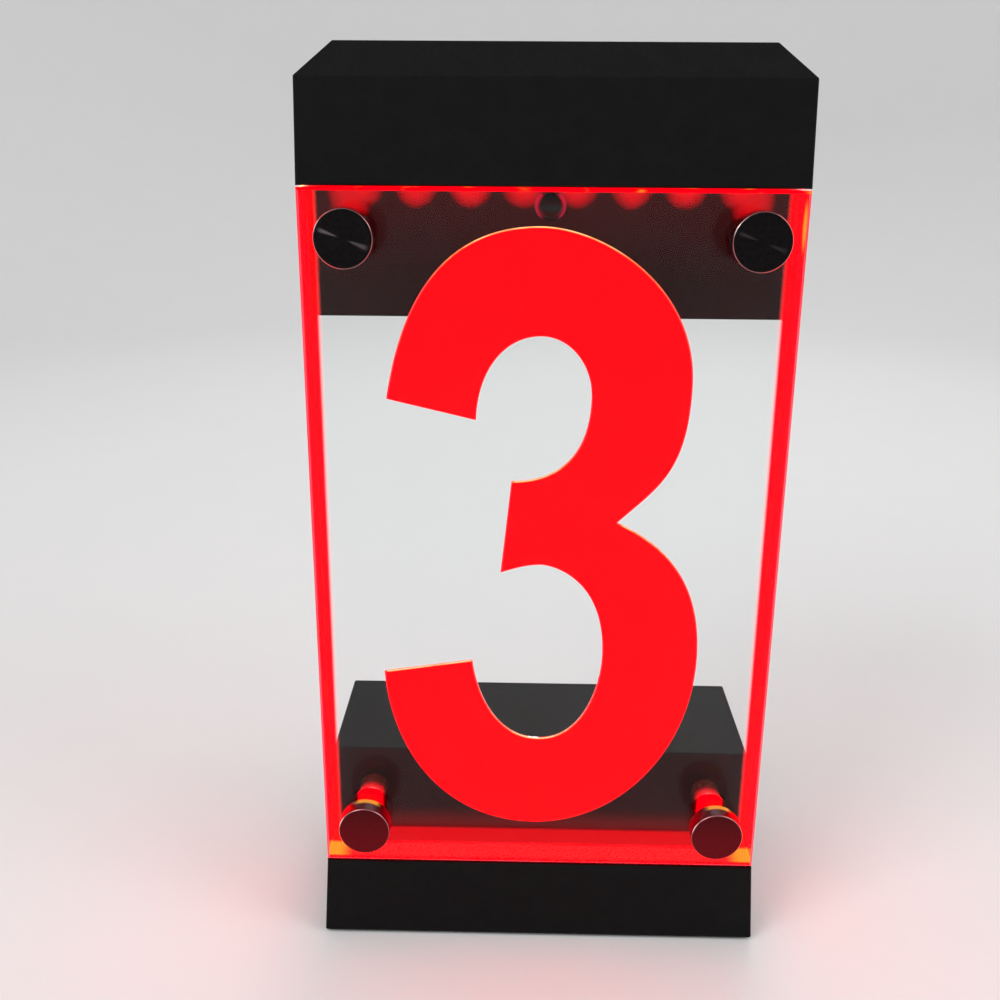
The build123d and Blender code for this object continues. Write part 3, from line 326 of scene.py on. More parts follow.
# Plain finishes: the two tones of the colour's clouds, the grain's size in mm, roughness from and to, bump
# height in mm, and what is the same all over.
FINISHES = {
    # ABS moulded in a spark-eroded tool: matte, with a fine even grain that keeps highlights soft. The real
    # grain is about 0.15 mm and is drawn at 0.7 mm so that it shows.
    "moulded_black_abs": ("#050405", "#080708", 0.7, 0.52, 0.64, 0.014, {"Specular IOR Level": 0.14}),
    # The covers are the same ABS from a polished tool: a little smoother, with faint flow marks.
    "smooth_black_abs": ("#0A0A0B", "#0E0E0F", 3.0, 0.38, 0.50, 0.010, {"Specular IOR Level": 0.3}),
    # ABS with a laser-etched matte face on what a hand moves, so that it feels different.
    "matte_abs_door": ("#0B0B0C", "#0F0F10", 0.9, 0.58, 0.70, 0.030, {"Specular IOR Level": 0.22}),
    # Rubberised ABS: a soft, almost dusty black.
    "soft_touch_button": ("#131314", "#18181A", 0.5, 0.70, 0.82, 0.012, {"Sheen Weight": 0.15}),
    # Moulded EPDM rubber: dull dark grey, slightly dusty, with a coarse skin.
    "epdm_rubber": ("#161616", "#202020", 0.8, 0.74, 0.88, 0.030, {"Specular IOR Level": 0.3}),
    # Stainless steel, turned: cool grey with a fine grain that breaks up the reflections.
    "turned_stainless": ("#8E8C8A", "#A19F9C", 0.35, 0.24, 0.40, 0.006, {"Metallic": 1.0}),
    # Zinc-plated steel screws: brighter and bluish.
    "zinc_plated_steel": ("#A2A5A8", "#B4B7B9", 0.6, 0.26, 0.42, 0.006, {"Metallic": 1.0}),
    # Mild steel ballast, oiled after sawing: dark with cloudy patches.
    "oiled_steel": ("#4B4947", "#65625F", 6.0, 0.34, 0.58, 0.020, {"Metallic": 1.0}),
    # Extruded aluminium, bead blasted: even and satin.
    "blasted_aluminium": ("#A9ABAD", "#BEC0C1", 0.4, 0.36, 0.50, 0.012, {"Metallic": 1.0}),
    # Solder mask over a metal-core board: white and slightly glossy, and never quite even.
    "white_solder_mask": ("#DEDFDC", "#ECECE9", 1.2, 0.30, 0.42, 0.006, {"Coat Weight": 0.2}),
    # Solder mask over woven glass epoxy: deep green and slightly glossy.
    "green_solder_mask": ("#0E3B20", "#15502C", 1.2, 0.28, 0.42, 0.008, {"Coat Weight": 0.2}),
    # Epoxy moulding compound of chips: black with a sandy skin.
    "moulded_epoxy": ("#121214", "#1B1B1E", 0.3, 0.55, 0.72, 0.010, {}),
    # Nylon connector housings: cream white and a little waxy.
    "nylon_connector": ("#DAD6C8", "#E6E3D8", 1.0, 0.42, 0.55, 0.006, {"Subsurface Weight": 0.05}),
    # Shrink film round the cells: glossy blue, with shallow wrinkles.
    "cell_shrink_film": ("#1E4F86", "#255C98", 4.0, 0.18, 0.28, 0.030, {"Coat Weight": 0.3}),
    # Nickel-plated spring steel contacts: bright and warm.
    "nickel_plated_contact": ("#B9B4A8", "#C9C5BA", 0.8, 0.20, 0.34, 0.006, {"Metallic": 1.0}),
    # PVC insulation of the leads: satin, faintly uneven from extrusion.
    "red_pvc_lead": ("#8E0D0D", "#A81414", 1.6, 0.36, 0.48, 0.010, {}),
    "grey_pvc_lead": ("#3A3B3D", "#48494B", 1.6, 0.36, 0.48, 0.010, {}),
    # Die-cast shell of the charging port, nickel plated.
    "port_shell": ("#9FA0A1", "#B2B3B4", 0.5, 0.22, 0.36, 0.006, {"Metallic": 1.0}),
    # Ferrite inductor body: charcoal, matte, sintered grit.
    "sintered_ferrite": ("#232426", "#303133", 0.5, 0.60, 0.78, 0.020, {}),
    # Aluminium cans of the capacitors in a printed film sleeve.
    "capacitor_can": ("#6F7276", "#85888C", 0.8, 0.26, 0.40, 0.006, {"Metallic": 1.0}),
    # The sensor's ring and element, in black polycarbonate: smooth and dark.
    "black_polycarbonate": ("#0A0A0C", "#101013", 1.4, 0.30, 0.44, 0.008, {}),
    # Closed-cell foam gasket: dark and fully matte.
    "foam_gasket": ("#1A1A1B", "#262627", 0.6, 0.84, 0.94, 0.060, {"Specular IOR Level": 0.2}),
}


def table_finish(add, place, name):
    """The shader inputs of a row of the table: the grain runs the roughness between its two values and
    raises the bump, and clouds nine times as large run the colour between its two tones."""
    first, second, size, smooth, rough, height, same = FINISHES[name]
    fine = add("TexNoise", {"Vector": place, "Scale": 1 / (size * MM)})
    cloud = add("TexNoise", {"Vector": place, "Scale": 1 / (size * 9 * MM)})
    paler = add("MapRange", [cloud, 0.35, 0.65], **SMOOTH)
    return {
        "Base Color": add("Mix", {SHARE: paler, FIRST: linear(first), SECOND: linear(second)},
                          data_type="RGBA")[MIXED],
        "Roughness": add("MapRange", [fine, *NOISE_RANGE, smooth, rough], **SMOOTH),
        "Normal": add("Bump", {"Height": fine, "Strength": 0.6, "Distance": height * MM}), **same}


def plain_finish(name):
    """A material that is one row of the table."""
    material, add, place, *_ = new_material(name)
    return finished(material, table_finish(add, place, name))


def lit_housing(light):
    """Moulded black ABS, as in the table, that also shows the red light which falls on it: eight half-round
    patches under the LEDs, wider ones round the top caps, a haze that fades away from the plate's two ends,
    and a glow along the ledge behind the plate. A patch is a smooth step of
    e = (dx / half width) squared + (dz / half height) squared."""
    material, add, place, x, y, z = new_material("moulded_black_abs_lit")
    patch_reach = 7.4 * MM
    patch_z = PLATE_HIGH.z - 0.2 * MM
    halo_x, halo_half_width, halo_half_height = HOLE_X + 1.9 * MM, 7.4 * MM, 15.0 * MM
    facing = add("SeparateXYZ", [add("NewGeometry")["Normal"]])
    near_roof = z > 0.5 * PLATE_HIGH.z
    front_wall = (abs(y - WALL_Y) < 0.6 * MM) * (facing["Y"] < -0.9)

    # Some unevenness keeps the outlines of the patches from being true circles.
    waver = add("TexNoise", {"Vector": place, "Scale": 1 / (9 * MM)}) * 0.5 - 0.25
    oval = squares(along_led(x) * LED_PITCH / patch_reach, (patch_z - z) / patch_reach)
    patches = add("MapRange", [oval + waver, 1.1, -0.1], **SMOOTH) * (abs(x) < 0.5 * LED_COUNT * LED_PITCH)
    oval = squares((abs(x) - halo_x) / halo_half_width, (PLATE_HIGH.z - z) / halo_half_height)
    halo = add("MapRange", [oval + waver, 1.2, 0.0], **SMOOTH) * 0.8
    haze = add("MapRange", [z, PLATE_HIGH.z - 34 * MM, PLATE_HIGH.z, 0.004, 0.035], **SMOOTH) * near_roof
    low_haze = add("MapRange", [z, PLATE_LOW.z + 9 * MM, PLATE_LOW.z, 0.006, 0.14], **SMOOTH)
    low_haze = low_haze * (z < BASE_TOP + 1 * MM)
    wall = ((patches | halo) * near_roof | haze | low_haze) * front_wall

    ledge = add("MapRange", [y, WALL_Y, WALL_Y - 1.6 * MM, 0.35, 0.85], **SMOOTH)
    ledge = ledge * (y > PLATE_HIGH.y - 0.5 * MM) * (facing["Z"] > 0.9)
    ledge = ledge * (z < PLATE_LOW.z) * (z > PLATE_LOW.z - 1.2 * MM)
    return finished(material, {
        **table_finish(add, place, "moulded_black_abs"), "Emission Color": light.red,
        "Emission Strength": (wall | ledge) * light.glow_strength})


def edge_lit_acrylic(light):
    """Cast acrylic with flame-polished edges: water clear, with an IOR of 1.49, so that its faces vanish and
    its cut edges carry the LED light. Inside the last 0.85 mm of the outline the surface gives off that
    light: the sides are red with an orange hot spot on the right, the bottom has three bands and turns
    orange near the corners, and each LED draws a streak in the top. The specular tint lowers the faces'
    reflections, because at full strength a pale room washes the red light out."""
    material, add, place, x, y, z = new_material("edge_lit_cast_acrylic")
    rim = 0.85 * MM
    # back runs from 0 at the plate's front face to 1 at its back face, a little unevenly.
    waver = add("TexNoise", {"Vector": place, "Scale": 1 / (30 * MM)}) * 0.12 - 0.06
    back = (y - PLATE_LOW.y) / (PLATE_HIGH.y - PLATE_LOW.y) + waver
    out = abs(x)
    sides = out > PLATE_HIGH.x - rim
    bottom = z < PLATE_LOW.z + rim
    top = z > PLATE_HIGH.z - rim

    hot_z, hot_half_height = PLATE_HIGH.z - 10.5 * MM, 7.0 * MM
    hot_back, hot_half_depth = 0.48, 0.2
    on_right = x > 0.0
    from_hot = squares((z - hot_z) / hot_half_height, (back - hot_back) / hot_half_depth)
    hot = add("MapRange", [from_hot, 1.5, 0.0], **SMOOTH) * on_right
    side_tone = add("ValToRGB", [back], [(0.0, light.pink), (0.06, light.side_red), (1.0, light.side_red)])
    side_tone = add("Mix", {SHARE: hot, FIRST: side_tone, SECOND: light.orange}, data_type="RGBA")[MIXED]

    corner = add("MapRange", [PLATE_HIGH.x - out, 9 * MM, 3 * MM], **SMOOTH)
    corner = corner * add("MapRange", [back, 0.22, 0.3], **SMOOTH)
    corner = corner * add("MapRange", [back, 1.0, 0.94], **SMOOTH)
    bands = add("ValToRGB", [back], [(0.0, light.pink), (0.05, light.red), (0.24, light.red),
                                     (0.3, light.warm), (0.94, light.warm), (1.0, light.red)])
    bottom_tone = add("Mix", {SHARE: corner, FIRST: bands, SECOND: light.orange}, data_type="RGBA")[MIXED]

    streak = add("MapRange", [abs(along_led(x)), 0.16, 0.02], **SMOOTH)
    broken = add("TexNoise", {"Vector": place, "Scale": 1 / (7 * MM)})
    streak = streak * add("MapRange", [broken, 0.5, 0.7], **SMOOTH)
    top_tone = add("Mix", {SHARE: streak, FIRST: light.red, SECOND: light.orange}, data_type="RGBA")[MIXED]

    # The walls of the two lower holes catch the light from above, and turn orange at the front.
    hole = squares(out - HOLE_X, z - LOWER_HOLE_Z) < (HOLE_RADIUS + 0.25 * MM) ** 2
    hole_front = add("MapRange", [back, 0.34, 0.16], **SMOOTH)
    hole_tone = add("Mix", {SHARE: hole_front, FIRST: light.red, SECOND: light.orange},
                    data_type="RGBA")[MIXED]

    # Light also leaks out of the back face close to each side, and fades inwards.
    leak_end, leak_start, skin = 4.4 * MM, 1.0 * MM, 0.05 * MM
    leak = add("MapRange", [out, PLATE_HIGH.x - leak_end, PLATE_HIGH.x - leak_start], **SMOOTH)
    leak = leak * (y > PLATE_HIGH.y - skin)
    lit = sides | bottom | top | leak | hole
    # Where a side is plain red it throws a stronger light on the ground. Orange as strong would be yellow.
    past_front = add("MapRange", [back, 0.1, 0.2], **SMOOTH)
    round_hot = add("MapRange", [from_hot, 2.6, 1.5], **SMOOTH) * on_right
    plain_red = sides * past_front * (1.0 - (round_hot | bottom))

    # The bottom's tone lies over the sides', the top's over both, and the holes' over all.
    tone = add("Mix", {SHARE: bottom, FIRST: side_tone, SECOND: bottom_tone}, data_type="RGBA")[MIXED]
    tone = add("Mix", {SHARE: top, FIRST: tone, SECOND: top_tone}, data_type="RGBA")[MIXED]
    tone = add("Mix", {SHARE: hole, FIRST: tone, SECOND: hole_tone}, data_type="RGBA")[MIXED]
    # Painted light: where the outline is lit, the base colour turns from water clear to red as well as giving
    # off red light.
    painted_red_rim = add("MapRange", [lit, 0.0, 0.5], **SMOOTH)
    scratches = add("TexNoise", {"Vector": place, "Scale": 1 / (2.5 * MM)})
    return finished(material, {
        "Base Color": add("Mix", {SHARE: painted_red_rim, FIRST: linear("#FBFDFD"), SECOND: linear("#B4000C")},
                          data_type="RGBA")[MIXED],
        "Roughness": add("MapRange", [scratches, 0.4, 0.8, 0.0, 0.015], **SMOOTH), "IOR": 1.49,
        "Specular Tint": (0.25, 0.25, 0.25), "Transmission Weight": 1.0 - lit, "Emission Color": tone,
        "Emission Strength": lit * (plain_red * light.spill_strength + light.edge_strength)})


def frosted_inlay(light):
    """Red acrylic with a sandblasted face: the frosting scatters the edge light evenly, so that the numeral
    glows flat and saturated, with the grit of the blasting just visible close up."""
    material, add, place, *_ = new_material("frosted_red_acrylic")
    grit = add("TexNoise", {"Vector": place, "Scale": 1 / (0.6 * MM)})
    drift = add("TexNoise", {"Vector": place, "Scale": 1 / (60 * MM)})
    paler = add("MapRange", [drift, *NOISE_RANGE], **SMOOTH)
    evenness = add("MapRange", [drift, *NOISE_RANGE, 0.97, 1.03], **SMOOTH)
    return finished(material, {
        "Base Color": add("Mix", {SHARE: paler, FIRST: linear("#D6000F"), SECOND: linear("#E80012")},
                          data_type="RGBA")[MIXED],
        "Roughness": add("MapRange", [grit, *NOISE_RANGE, 0.55, 0.7], **SMOOTH),
        "Normal": add("Bump", {"Height": grit, "Strength": 0.4, "Distance": 0.02 * MM}),
        "Specular IOR Level": 0.2, "Emission Color": light.red,
        "Emission Strength": evenness * light.numeral_strength})


def numeral_edge(light):
    """The inlay's polished cut edge: it catches the light from above, so it runs from a yellow line where it
    faces up to pink at the sides and plain red below. The attribute facing_up holds the height of the
    outline's outward direction, from -1 to 1."""
    material, add, place, *_ = new_material("polished_inlay_edge")
    facing_up = add("Attribute", attribute_name="facing_up")["Fac"]
    speck = add("TexNoise", {"Vector": place, "Scale": 1 / (5 * MM)})
    height = (facing_up + (speck * 0.7 - 0.35)) * 0.5 + 0.5
    tone = add("ValToRGB", [height], [
        (0.0, light.red), (0.35, light.red), (0.52, linear("#FF2A44")), (0.78, linear("#FF5A4C")),
        (0.9, linear("#FF8A4A")), (1.0, linear("#FFD48C"))])
    return finished(material, {
        "Base Color": linear("#C8000E"), "Emission Color": tone, "Emission Strength": 1.0,
        "Roughness": add("MapRange", [speck, *NOISE_RANGE, 0.2, 0.35], **SMOOTH)})


def black_chrome(light, sizes):
    """Turned brass under black chrome: a mirror-dark metal whose turned rings stretch every highlight into a
    streak through the middle; that streak and the highlight along the round front edge are painted into the
    base colour. The real rings are 0.1 mm apart, and the bump draws them at the pitch of the size group. Near
    the bottom of the plate the faces pick up its red light, and the side wall of each lower cap mirrors the
    lit hole behind it, painted as an orange crescent on top at the back, and red beside it. The surface UV
    runs once round the cap in u, from its right counterclockwise, and over its profile in v."""
    material, add, place, x, y, z = new_material("black_chromed_turned_brass")
    surface = add("SeparateXYZ", [add("UVMap", uv_map="surface")])
    round_cap, over_profile = surface["X"], surface["Y"]
    bright_edge = add("Attribute", attribute_name="bright_edge")["Fac"]
    ring_count = sizes.cap_diameter / sizes.cap_groove_pitch
    rings = add("Math", [over_profile * (ring_count * 2 * math.pi)], operation="SINE")
    smear = add("TexNoise", {"Vector": place, "Scale": 1 / (1.2 * MM)})
    # 1 on the lower pair of caps and 0 on the upper pair, and 0 at a cap's front to 1 at its back.
    on_lower = add("MapRange", [z, 70 * MM, 40 * MM], **SMOOTH)
    depth = (y - CAPS_LOW.y) / (CAPS_HIGH.y - CAPS_LOW.y)

    # A painted highlight: the streak lies from 159 degrees to 339 degrees round the face, is brighter on the
    # left, where the light comes from, and shows most on the upper left cap.
    left_end = add("MapRange", [abs(round_cap - 0.443), 0.022, 0.002], **SMOOTH)
    right_end = add("MapRange", [abs(round_cap - 0.943), 0.026, 0.002], **SMOOTH)
    streak = (left_end | right_end * 0.7) * add("MapRange", [abs(over_profile - 0.26), 0.2, 0.08], **SMOOTH)
    streak = streak * add("MapRange", [z, 80 * MM, 90 * MM], **SMOOTH)
    streak = streak * add("MapRange", [x, 20 * MM, -20 * MM, 0.25, 1.0], **SMOOTH)
    smeared = add("MapRange", [smear, 0.35, 0.65], **SMOOTH)
    face = add("Mix", {SHARE: smeared, FIRST: linear("#181617"), SECOND: linear("#1E1B1C")},
               data_type="RGBA")[MIXED]
    face = add("Mix", {SHARE: streak, FIRST: face, SECOND: linear("#6E6466")}, data_type="RGBA")[MIXED]
    # Painted highlight on the round front edge: pinkish white, with a white glint at about 155 degrees round.
    glint = add("MapRange", [abs(round_cap - 0.43), 0.05, 0.01], **SMOOTH)
    edge = add("Mix", {SHARE: glint, FIRST: linear("#A87E80"), SECOND: linear("#FFFFFF")},
               data_type="RGBA")[MIXED]

    side_wall = add("MapRange", [abs(depth - 0.6), 0.44, 0.4], **SMOOTH) * on_lower * (over_profile < 0.95)
    crescent = add("MapRange", [abs(round_cap - 0.235), 0.11, 0.05], **SMOOTH)
    crescent = crescent * add("MapRange", [depth, 0.5, 0.72], **SMOOTH) * side_wall
    crescent = add("MapRange", [crescent, 0.05, 0.6], **SMOOTH)
    on_left = add("MapRange", [abs(round_cap - 0.42), 0.12, 0.03], **SMOOTH)
    on_right = add("MapRange", [abs(round_cap - 0.06), 0.1, 0.03], **SMOOTH)
    beside = (on_left | on_right) * side_wall * 0.55
    glow = add("Mix", {SHARE: beside, FIRST: light.deep_red, SECOND: light.red}, data_type="RGBA")[MIXED]
    glow = add("Mix", {SHARE: crescent, FIRST: glow, SECOND: light.orange}, data_type="RGBA")[MIXED]
    return finished(material, {
        "Base Color": add("Mix", {SHARE: bright_edge, FIRST: face, SECOND: edge}, data_type="RGBA")[MIXED],
        "Metallic": 1.0, "Roughness": add("MapRange", [smear, *NOISE_RANGE, 0.2, 0.24], **SMOOTH),
        "Normal": add("Bump", {"Height": rings, "Strength": 0.12, "Distance": 0.004 * MM}),
        "Anisotropic": 0.75, "Tangent": add("Tangent", direction_type="UV_MAP", uv_map="surface"),
        "Emission Color": glow, "Emission Strength": on_lower * 0.9 | crescent | beside})


def lit_metal(light):
    """Turned stainless spacers and washers behind the plate: the table's grey metal, which shows the red of
    the plate's edge, strongly near the plate and at the bottom pair, where the light comes out."""
    material, add, place, x, y, z = new_material("turned_stainless_in_red_light")
    near_plate = add("MapRange", [y, SPACERS_LOW.y + 6.5 * MM, SPACERS_LOW.y + 1.5 * MM, 0.03, 1.0], **SMOOTH)
    near_axis = add("MapRange", [abs(abs(x) - HOLE_X), 5.2 * MM, 3.8 * MM, 0.05, 1.0], **SMOOTH)
    near_bottom = add("MapRange", [z, 80 * MM, 54 * MM, 0.25, 1.0], **SMOOTH)
    return finished(material, {
        **table_finish(add, place, "turned_stainless"), "Emission Color": light.red,
        "Emission Strength": near_plate * near_axis * near_bottom})


def lit_sleeve(light):
    """Clear polycarbonate tube round each stud: it pipes the plate's light, orange along its upper side at
    the bottom fixings and hardly at all at the top ones."""
    material, add, place, _, _, z = new_material("clear_sleeve_tube")
    polish = add("TexNoise", {"Vector": place, "Scale": 1 / (2 * MM)})
    upper_side = add("MapRange", [z - LOWER_HOLE_Z, 2.1 * MM, 3.7 * MM], **SMOOTH)
    return finished(material, {
        "Base Color": linear("#F4E4E4"), "IOR": 1.58, "Transmission Weight": 1.0,
        "Roughness": add("MapRange", [polish, *NOISE_RANGE, 0.05, 0.15], **SMOOTH),
        "Emission Color": add("Mix", {SHARE: upper_side, FIRST: light.red, SECOND: light.orange},
                              data_type="RGBA")[MIXED],
        "Emission Strength": add("MapRange", [z, 70 * MM, 60 * MM], **SMOOTH) * 0.9})


def clear_plastic(name, tint, ior, smooth, rough, light, glow):
    """A clear moulded plastic that glows a little red: the grain varies the polish and thins the tint."""
    material, add, place, *_ = new_material(name)
    fine = add("TexNoise", {"Vector": place, "Scale": 1 / (1.5 * MM)})
    return finished(material, {
        "Base Color": add("Mix", {SHARE: fine * 0.2, FIRST: linear(tint), SECOND: linear("#FFFFFF")},
                          data_type="RGBA")[MIXED],
        "Roughness": add("MapRange", [fine, *NOISE_RANGE, smooth, rough], **SMOOTH), "IOR": ior,
        "Transmission Weight": 1.0, "Emission Color": light.red, "Emission Strength": glow})


def dome_plastic():
    """Clear polycarbonate sensor dome with a dark filter behind it: the middle looks black, and its thick
    sides pick up the LEDs as two magenta arcs, painted in the emission, with a painted pink tint of that
    light in the base colour. r is the distance from the dome's axis."""
    material, add, place, x, _, z = new_material("clear_sensor_dome")
    r = add("Math", [squares(x, z - (DOME_LOW.z + DOME_HIGH.z) / 2)], operation="SQRT")
    arcs = add("MapRange", [r, 0.72 * DOME_RADIUS, 0.9 * DOME_RADIUS], **SMOOTH)
    arcs = arcs * add("MapRange", [abs(x) / r, 0.45, 0.8], **SMOOTH)
    # Painted light: towards the rim the base colour turns pink, standing for the LED light that the sides
    # pick up.
    painted_side_light = add("MapRange", [r, 0.5 * DOME_RADIUS, 0.95 * DOME_RADIUS], **SMOOTH)
    polish = add("TexNoise", {"Vector": place, "Scale": 1 / (1.5 * MM)})
    return finished(material, {
        "Base Color": add("Mix", {SHARE: painted_side_light, FIRST: linear("#2A0C10"), SECOND: linear("#B4404C")},
                          data_type="RGBA")[MIXED],
        "Roughness": add("MapRange", [polish, *NOISE_RANGE, 0.0, 0.03], **SMOOTH), "IOR": 1.58,
        "Transmission Weight": 1.0, "Specular Tint": (0.4, 0.4, 0.4), "Emission Color": linear("#B0103C"),
        "Emission Strength": arcs * 0.45})


def led_package(light):
    """White-rimmed LED packages whose phosphor-free die shines red through clear resin."""
    material, add, place, *_ = new_material("led_resin")
    fine = add("TexNoise", {"Vector": place, "Scale": 1 / (0.8 * MM)})
    return finished(material, {
        "Base Color": add("Mix", {SHARE: fine, FIRST: linear("#F0E6DC"), SECOND: linear("#FFFFFF")},
                          data_type="RGBA")[MIXED],
        "Roughness": add("MapRange", [fine, *NOISE_RANGE, 0.15, 0.3], **SMOOTH),
        "Emission Color": add("Mix", {SHARE: fine, FIRST: light.red, SECOND: light.warm},
                              data_type="RGBA")[MIXED],
        "Emission Strength": 3.0})


def studio_paper(studio):
    """Seamless paper: pale, fully matte, with fibre clouds too faint to notice from afar."""
    material, add, place, *_ = new_material("seamless_paper")
    cloud = add("TexNoise", {"Vector": place, "Scale": 1 / (40 * MM)})
    paler = tuple(min(1.0, c * 1.02) for c in studio.floor)
    return finished(material, {
        "Base Color": add("Mix", {SHARE: cloud, FIRST: studio.floor, SECOND: paler}, data_type="RGBA")[MIXED],
        "Roughness": 0.95, "Specular IOR Level": 0.1})


def dress(material, *names):
    """Gives CAD nodes that finish."""
    for name in names:
        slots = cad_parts[name].data.materials
        slots.clear()
        slots.append(material)


# ---------------------------------------------------------------------------------- operators

class HOUSESIGN_OT_plate(bpy.types.Operator):
    """Finish the clear plate, its rest pad and the sleeves in its holes"""
    bl_idname = "housesign.plate"
    bl_label = "Clear Plate"

    def execute(self, context):
        light = context.scene.house_sign_light
        dress(edge_lit_acrylic(light), "acrylic_plate")
        dress(lit_sleeve(light), "stud_sleeves")
        silicone = clear_plastic("clear_silicone", "#F6F2F2", 1.41, 0.25, 0.4, light, 0.1)
        dress(silicone, "plate_rest_pad")
        return {"FINISHED"}


class HOUSESIGN_OT_numeral(bpy.types.Operator):
    """Finish the frosted numeral and run a bright line round its cut edge"""
    bl_idname = "housesign.numeral"
    bl_label = "Numeral"

    # The numeral's outline in thousandths of its width and height. Each row is a curve's two handles and
    # its end.
    START = (294, 710)
    CURVES = np.array([
        (298, 786, 376, 840, 487, 840), (570, 840, 639, 798, 639, 748), (639, 635, 503, 612, 403, 612),
        (393, 561, 382, 511, 372, 460), (414, 467, 451, 474, 500, 474), (516, 474, 699, 460, 699, 320),
        (699, 258, 642, 162, 499, 162), (341, 162, 290, 265, 283, 304), (189, 297, 94, 289, 0, 282),
        (22, 119, 207, 0, 489, 0), (771, 0, 1000, 141, 1000, 316), (1000, 433, 910, 504, 728, 546),
        (842, 604, 935, 627, 935, 767), (935, 917, 660, 1000, 479, 1000), (207, 1000, 76, 897, 27, 742),
        (116, 731, 205, 721, 294, 710),
    ], float)
    CURVE_STEPS = 26
    # The line starts this far in front of the numeral's face and reaches this far back along its side.
    LINE_AHEAD = 0.03 * MM
    LINE_DEPTH = 0.25 * MM

    def outline(self):
        """Points round the outline. With t in equal steps, each curve is
        B(t) = (1-t)^3 P0 + 3(1-t)^2 t P1 + 3(1-t) t^2 P2 + t^3 P3, and P0 is the end of the one before."""
        ends = self.CURVES[:, 4:]
        starts = np.concatenate([[self.START], ends[:-1]])
        t = np.linspace(0, 1, self.CURVE_STEPS, endpoint=False)[None, :, None]
        first, second, third = (self.CURVES[:, None, i:i + 2] for i in (0, 2, 4))
        points = ((1 - t) ** 3 * starts[:, None] + 3 * (1 - t) ** 2 * t * first
                  + 3 * (1 - t) * t ** 2 * second + t ** 3 * third).reshape(-1, 2) / 1000
        size = np.array([NUMERAL_HIGH.x - NUMERAL_LOW.x, NUMERAL_HIGH.z - NUMERAL_LOW.z])
        return points * size + np.array([NUMERAL_LOW.x, NUMERAL_LOW.z])

    def execute(self, context):
        light, sizes = context.scene.house_sign_light, context.scene.house_sign_sizes
        dress(frosted_inlay(light), "numeral_inlay")
        line = self.outline()
        # The outward direction is the way along the outline turned a quarter to its outer side. A signed
        # area above 0 says that the outline runs counterclockwise.
        x, z = line.T
        area = np.sum(x * np.roll(z, -1) - z * np.roll(x, -1)) / 2
        along = np.roll(line, -1, axis=0) - np.roll(line, 1, axis=0)
        along /= np.linalg.norm(along, axis=1, keepdims=True)
        outward = np.stack([along[:, 1], -along[:, 0]], axis=1) * np.sign(area)
        # The line is a flat bar carried round the outline: its four corners are at an offset and a depth.
        proud, width = sizes.edge_line_proud, sizes.edge_line_width
        front, back = NUMERAL_LOW.y - self.LINE_AHEAD, NUMERAL_LOW.y + self.LINE_DEPTH
        corners = np.array([(proud, back), (proud, front), (proud - width, front), (proud - width, back)])
        flat = line[:, None, :] + outward[:, None, :] * corners[None, :, :1]
        depth = np.broadcast_to(corners[None, :, 1], flat.shape[:2])
        bar = np.stack([flat[:, :, 0], depth, flat[:, :, 1]], axis=2)
        bar = bar if area > 0 else bar[:, ::-1]
        facing_up = np.repeat(outward[:, 1], len(corners))
        mesh = surface_mesh("numeral_edge_line", [bar], wrap_rows=True, values={"facing_up": facing_up})
        add_piece("numeral_edge_line", mesh, numeral_edge(light), "sign")
        return {"FINISHED"}


class HOUSESIGN_OT_caps(bpy.types.Operator):
    """Turn the four stand-off caps in place of the plain ones"""
    bl_idname = "housesign.caps"
    bl_label = "Stand-off Caps"

    COLUMNS = 96
    HEEL_ROUND = 0.3 * MM

    def execute(self, context):
        light, sizes = context.scene.house_sign_light, context.scene.house_sign_sizes
        radius, edge, heel = sizes.cap_diameter / 2, sizes.cap_edge_round, self.HEEL_ROUND
        front, back = CAPS_LOW.y, CAPS_HIGH.y
        # Profile from the middle of the dished face over the round edge to the middle of the back:
        # the face is at front + dish * (1 - (r / flat)^2).
        flat = radius - edge
        r = np.linspace(0, flat, 12)
        face = np.stack([r, front + sizes.cap_dish * (1 - (r / flat) ** 2)], axis=1)
        round_edge = arc(flat, front + edge, edge, -90, 0, 8)[1:]
        round_heel = arc(radius - heel, back - heel, heel, 0, 90, 5)
        profile = np.concatenate([face, round_edge, round_heel, [(0.0, back)]])
        # A painted highlight: three rows in the middle of the round edge, where the light catches, get the
        # pale rim colour.
        bright = np.zeros(len(profile))
        bright[len(face) + 2:len(face) + 5] = 1.0
        grids = [turned(profile, side * HOLE_X, z, self.COLUMNS)
                 for side in (-1, 1) for z in (LOWER_HOLE_Z, UPPER_HOLE_Z)]
        mesh = surface_mesh("turned_caps", grids,
                            values={"bright_edge": np.tile(np.repeat(bright, self.COLUMNS), len(grids))})
        caps = add_piece("turned_caps", mesh, black_chrome(light, sizes), "sign")
        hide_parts("standoff_caps")
        return {"FINISHED"}


class HOUSESIGN_OT_fixings(bpy.types.Operator):
    """Finish the studs, washers, spacers, nuts and screws"""
    bl_idname = "housesign.fixings"
    bl_label = "Fixings"

    def execute(self, context):
        light = context.scene.house_sign_light
        dress(lit_metal(light), "standoff_spacers", "spacer_washers")
        dress(plain_finish("turned_stainless"), "standoff_studs", "cap_washers", "nut_washers", "stud_nuts",
              "door_pin", "flap_pin")
        dress(plain_finish("zinc_plated_steel"), "base_cover_screws", "ballast_screws", "underside_screws",
              "holder_screws", "carrier_screws", "sensor_screws", "board_screws")
        dress(plain_finish("oiled_steel"), "ballast_block")
        return {"FINISHED"}


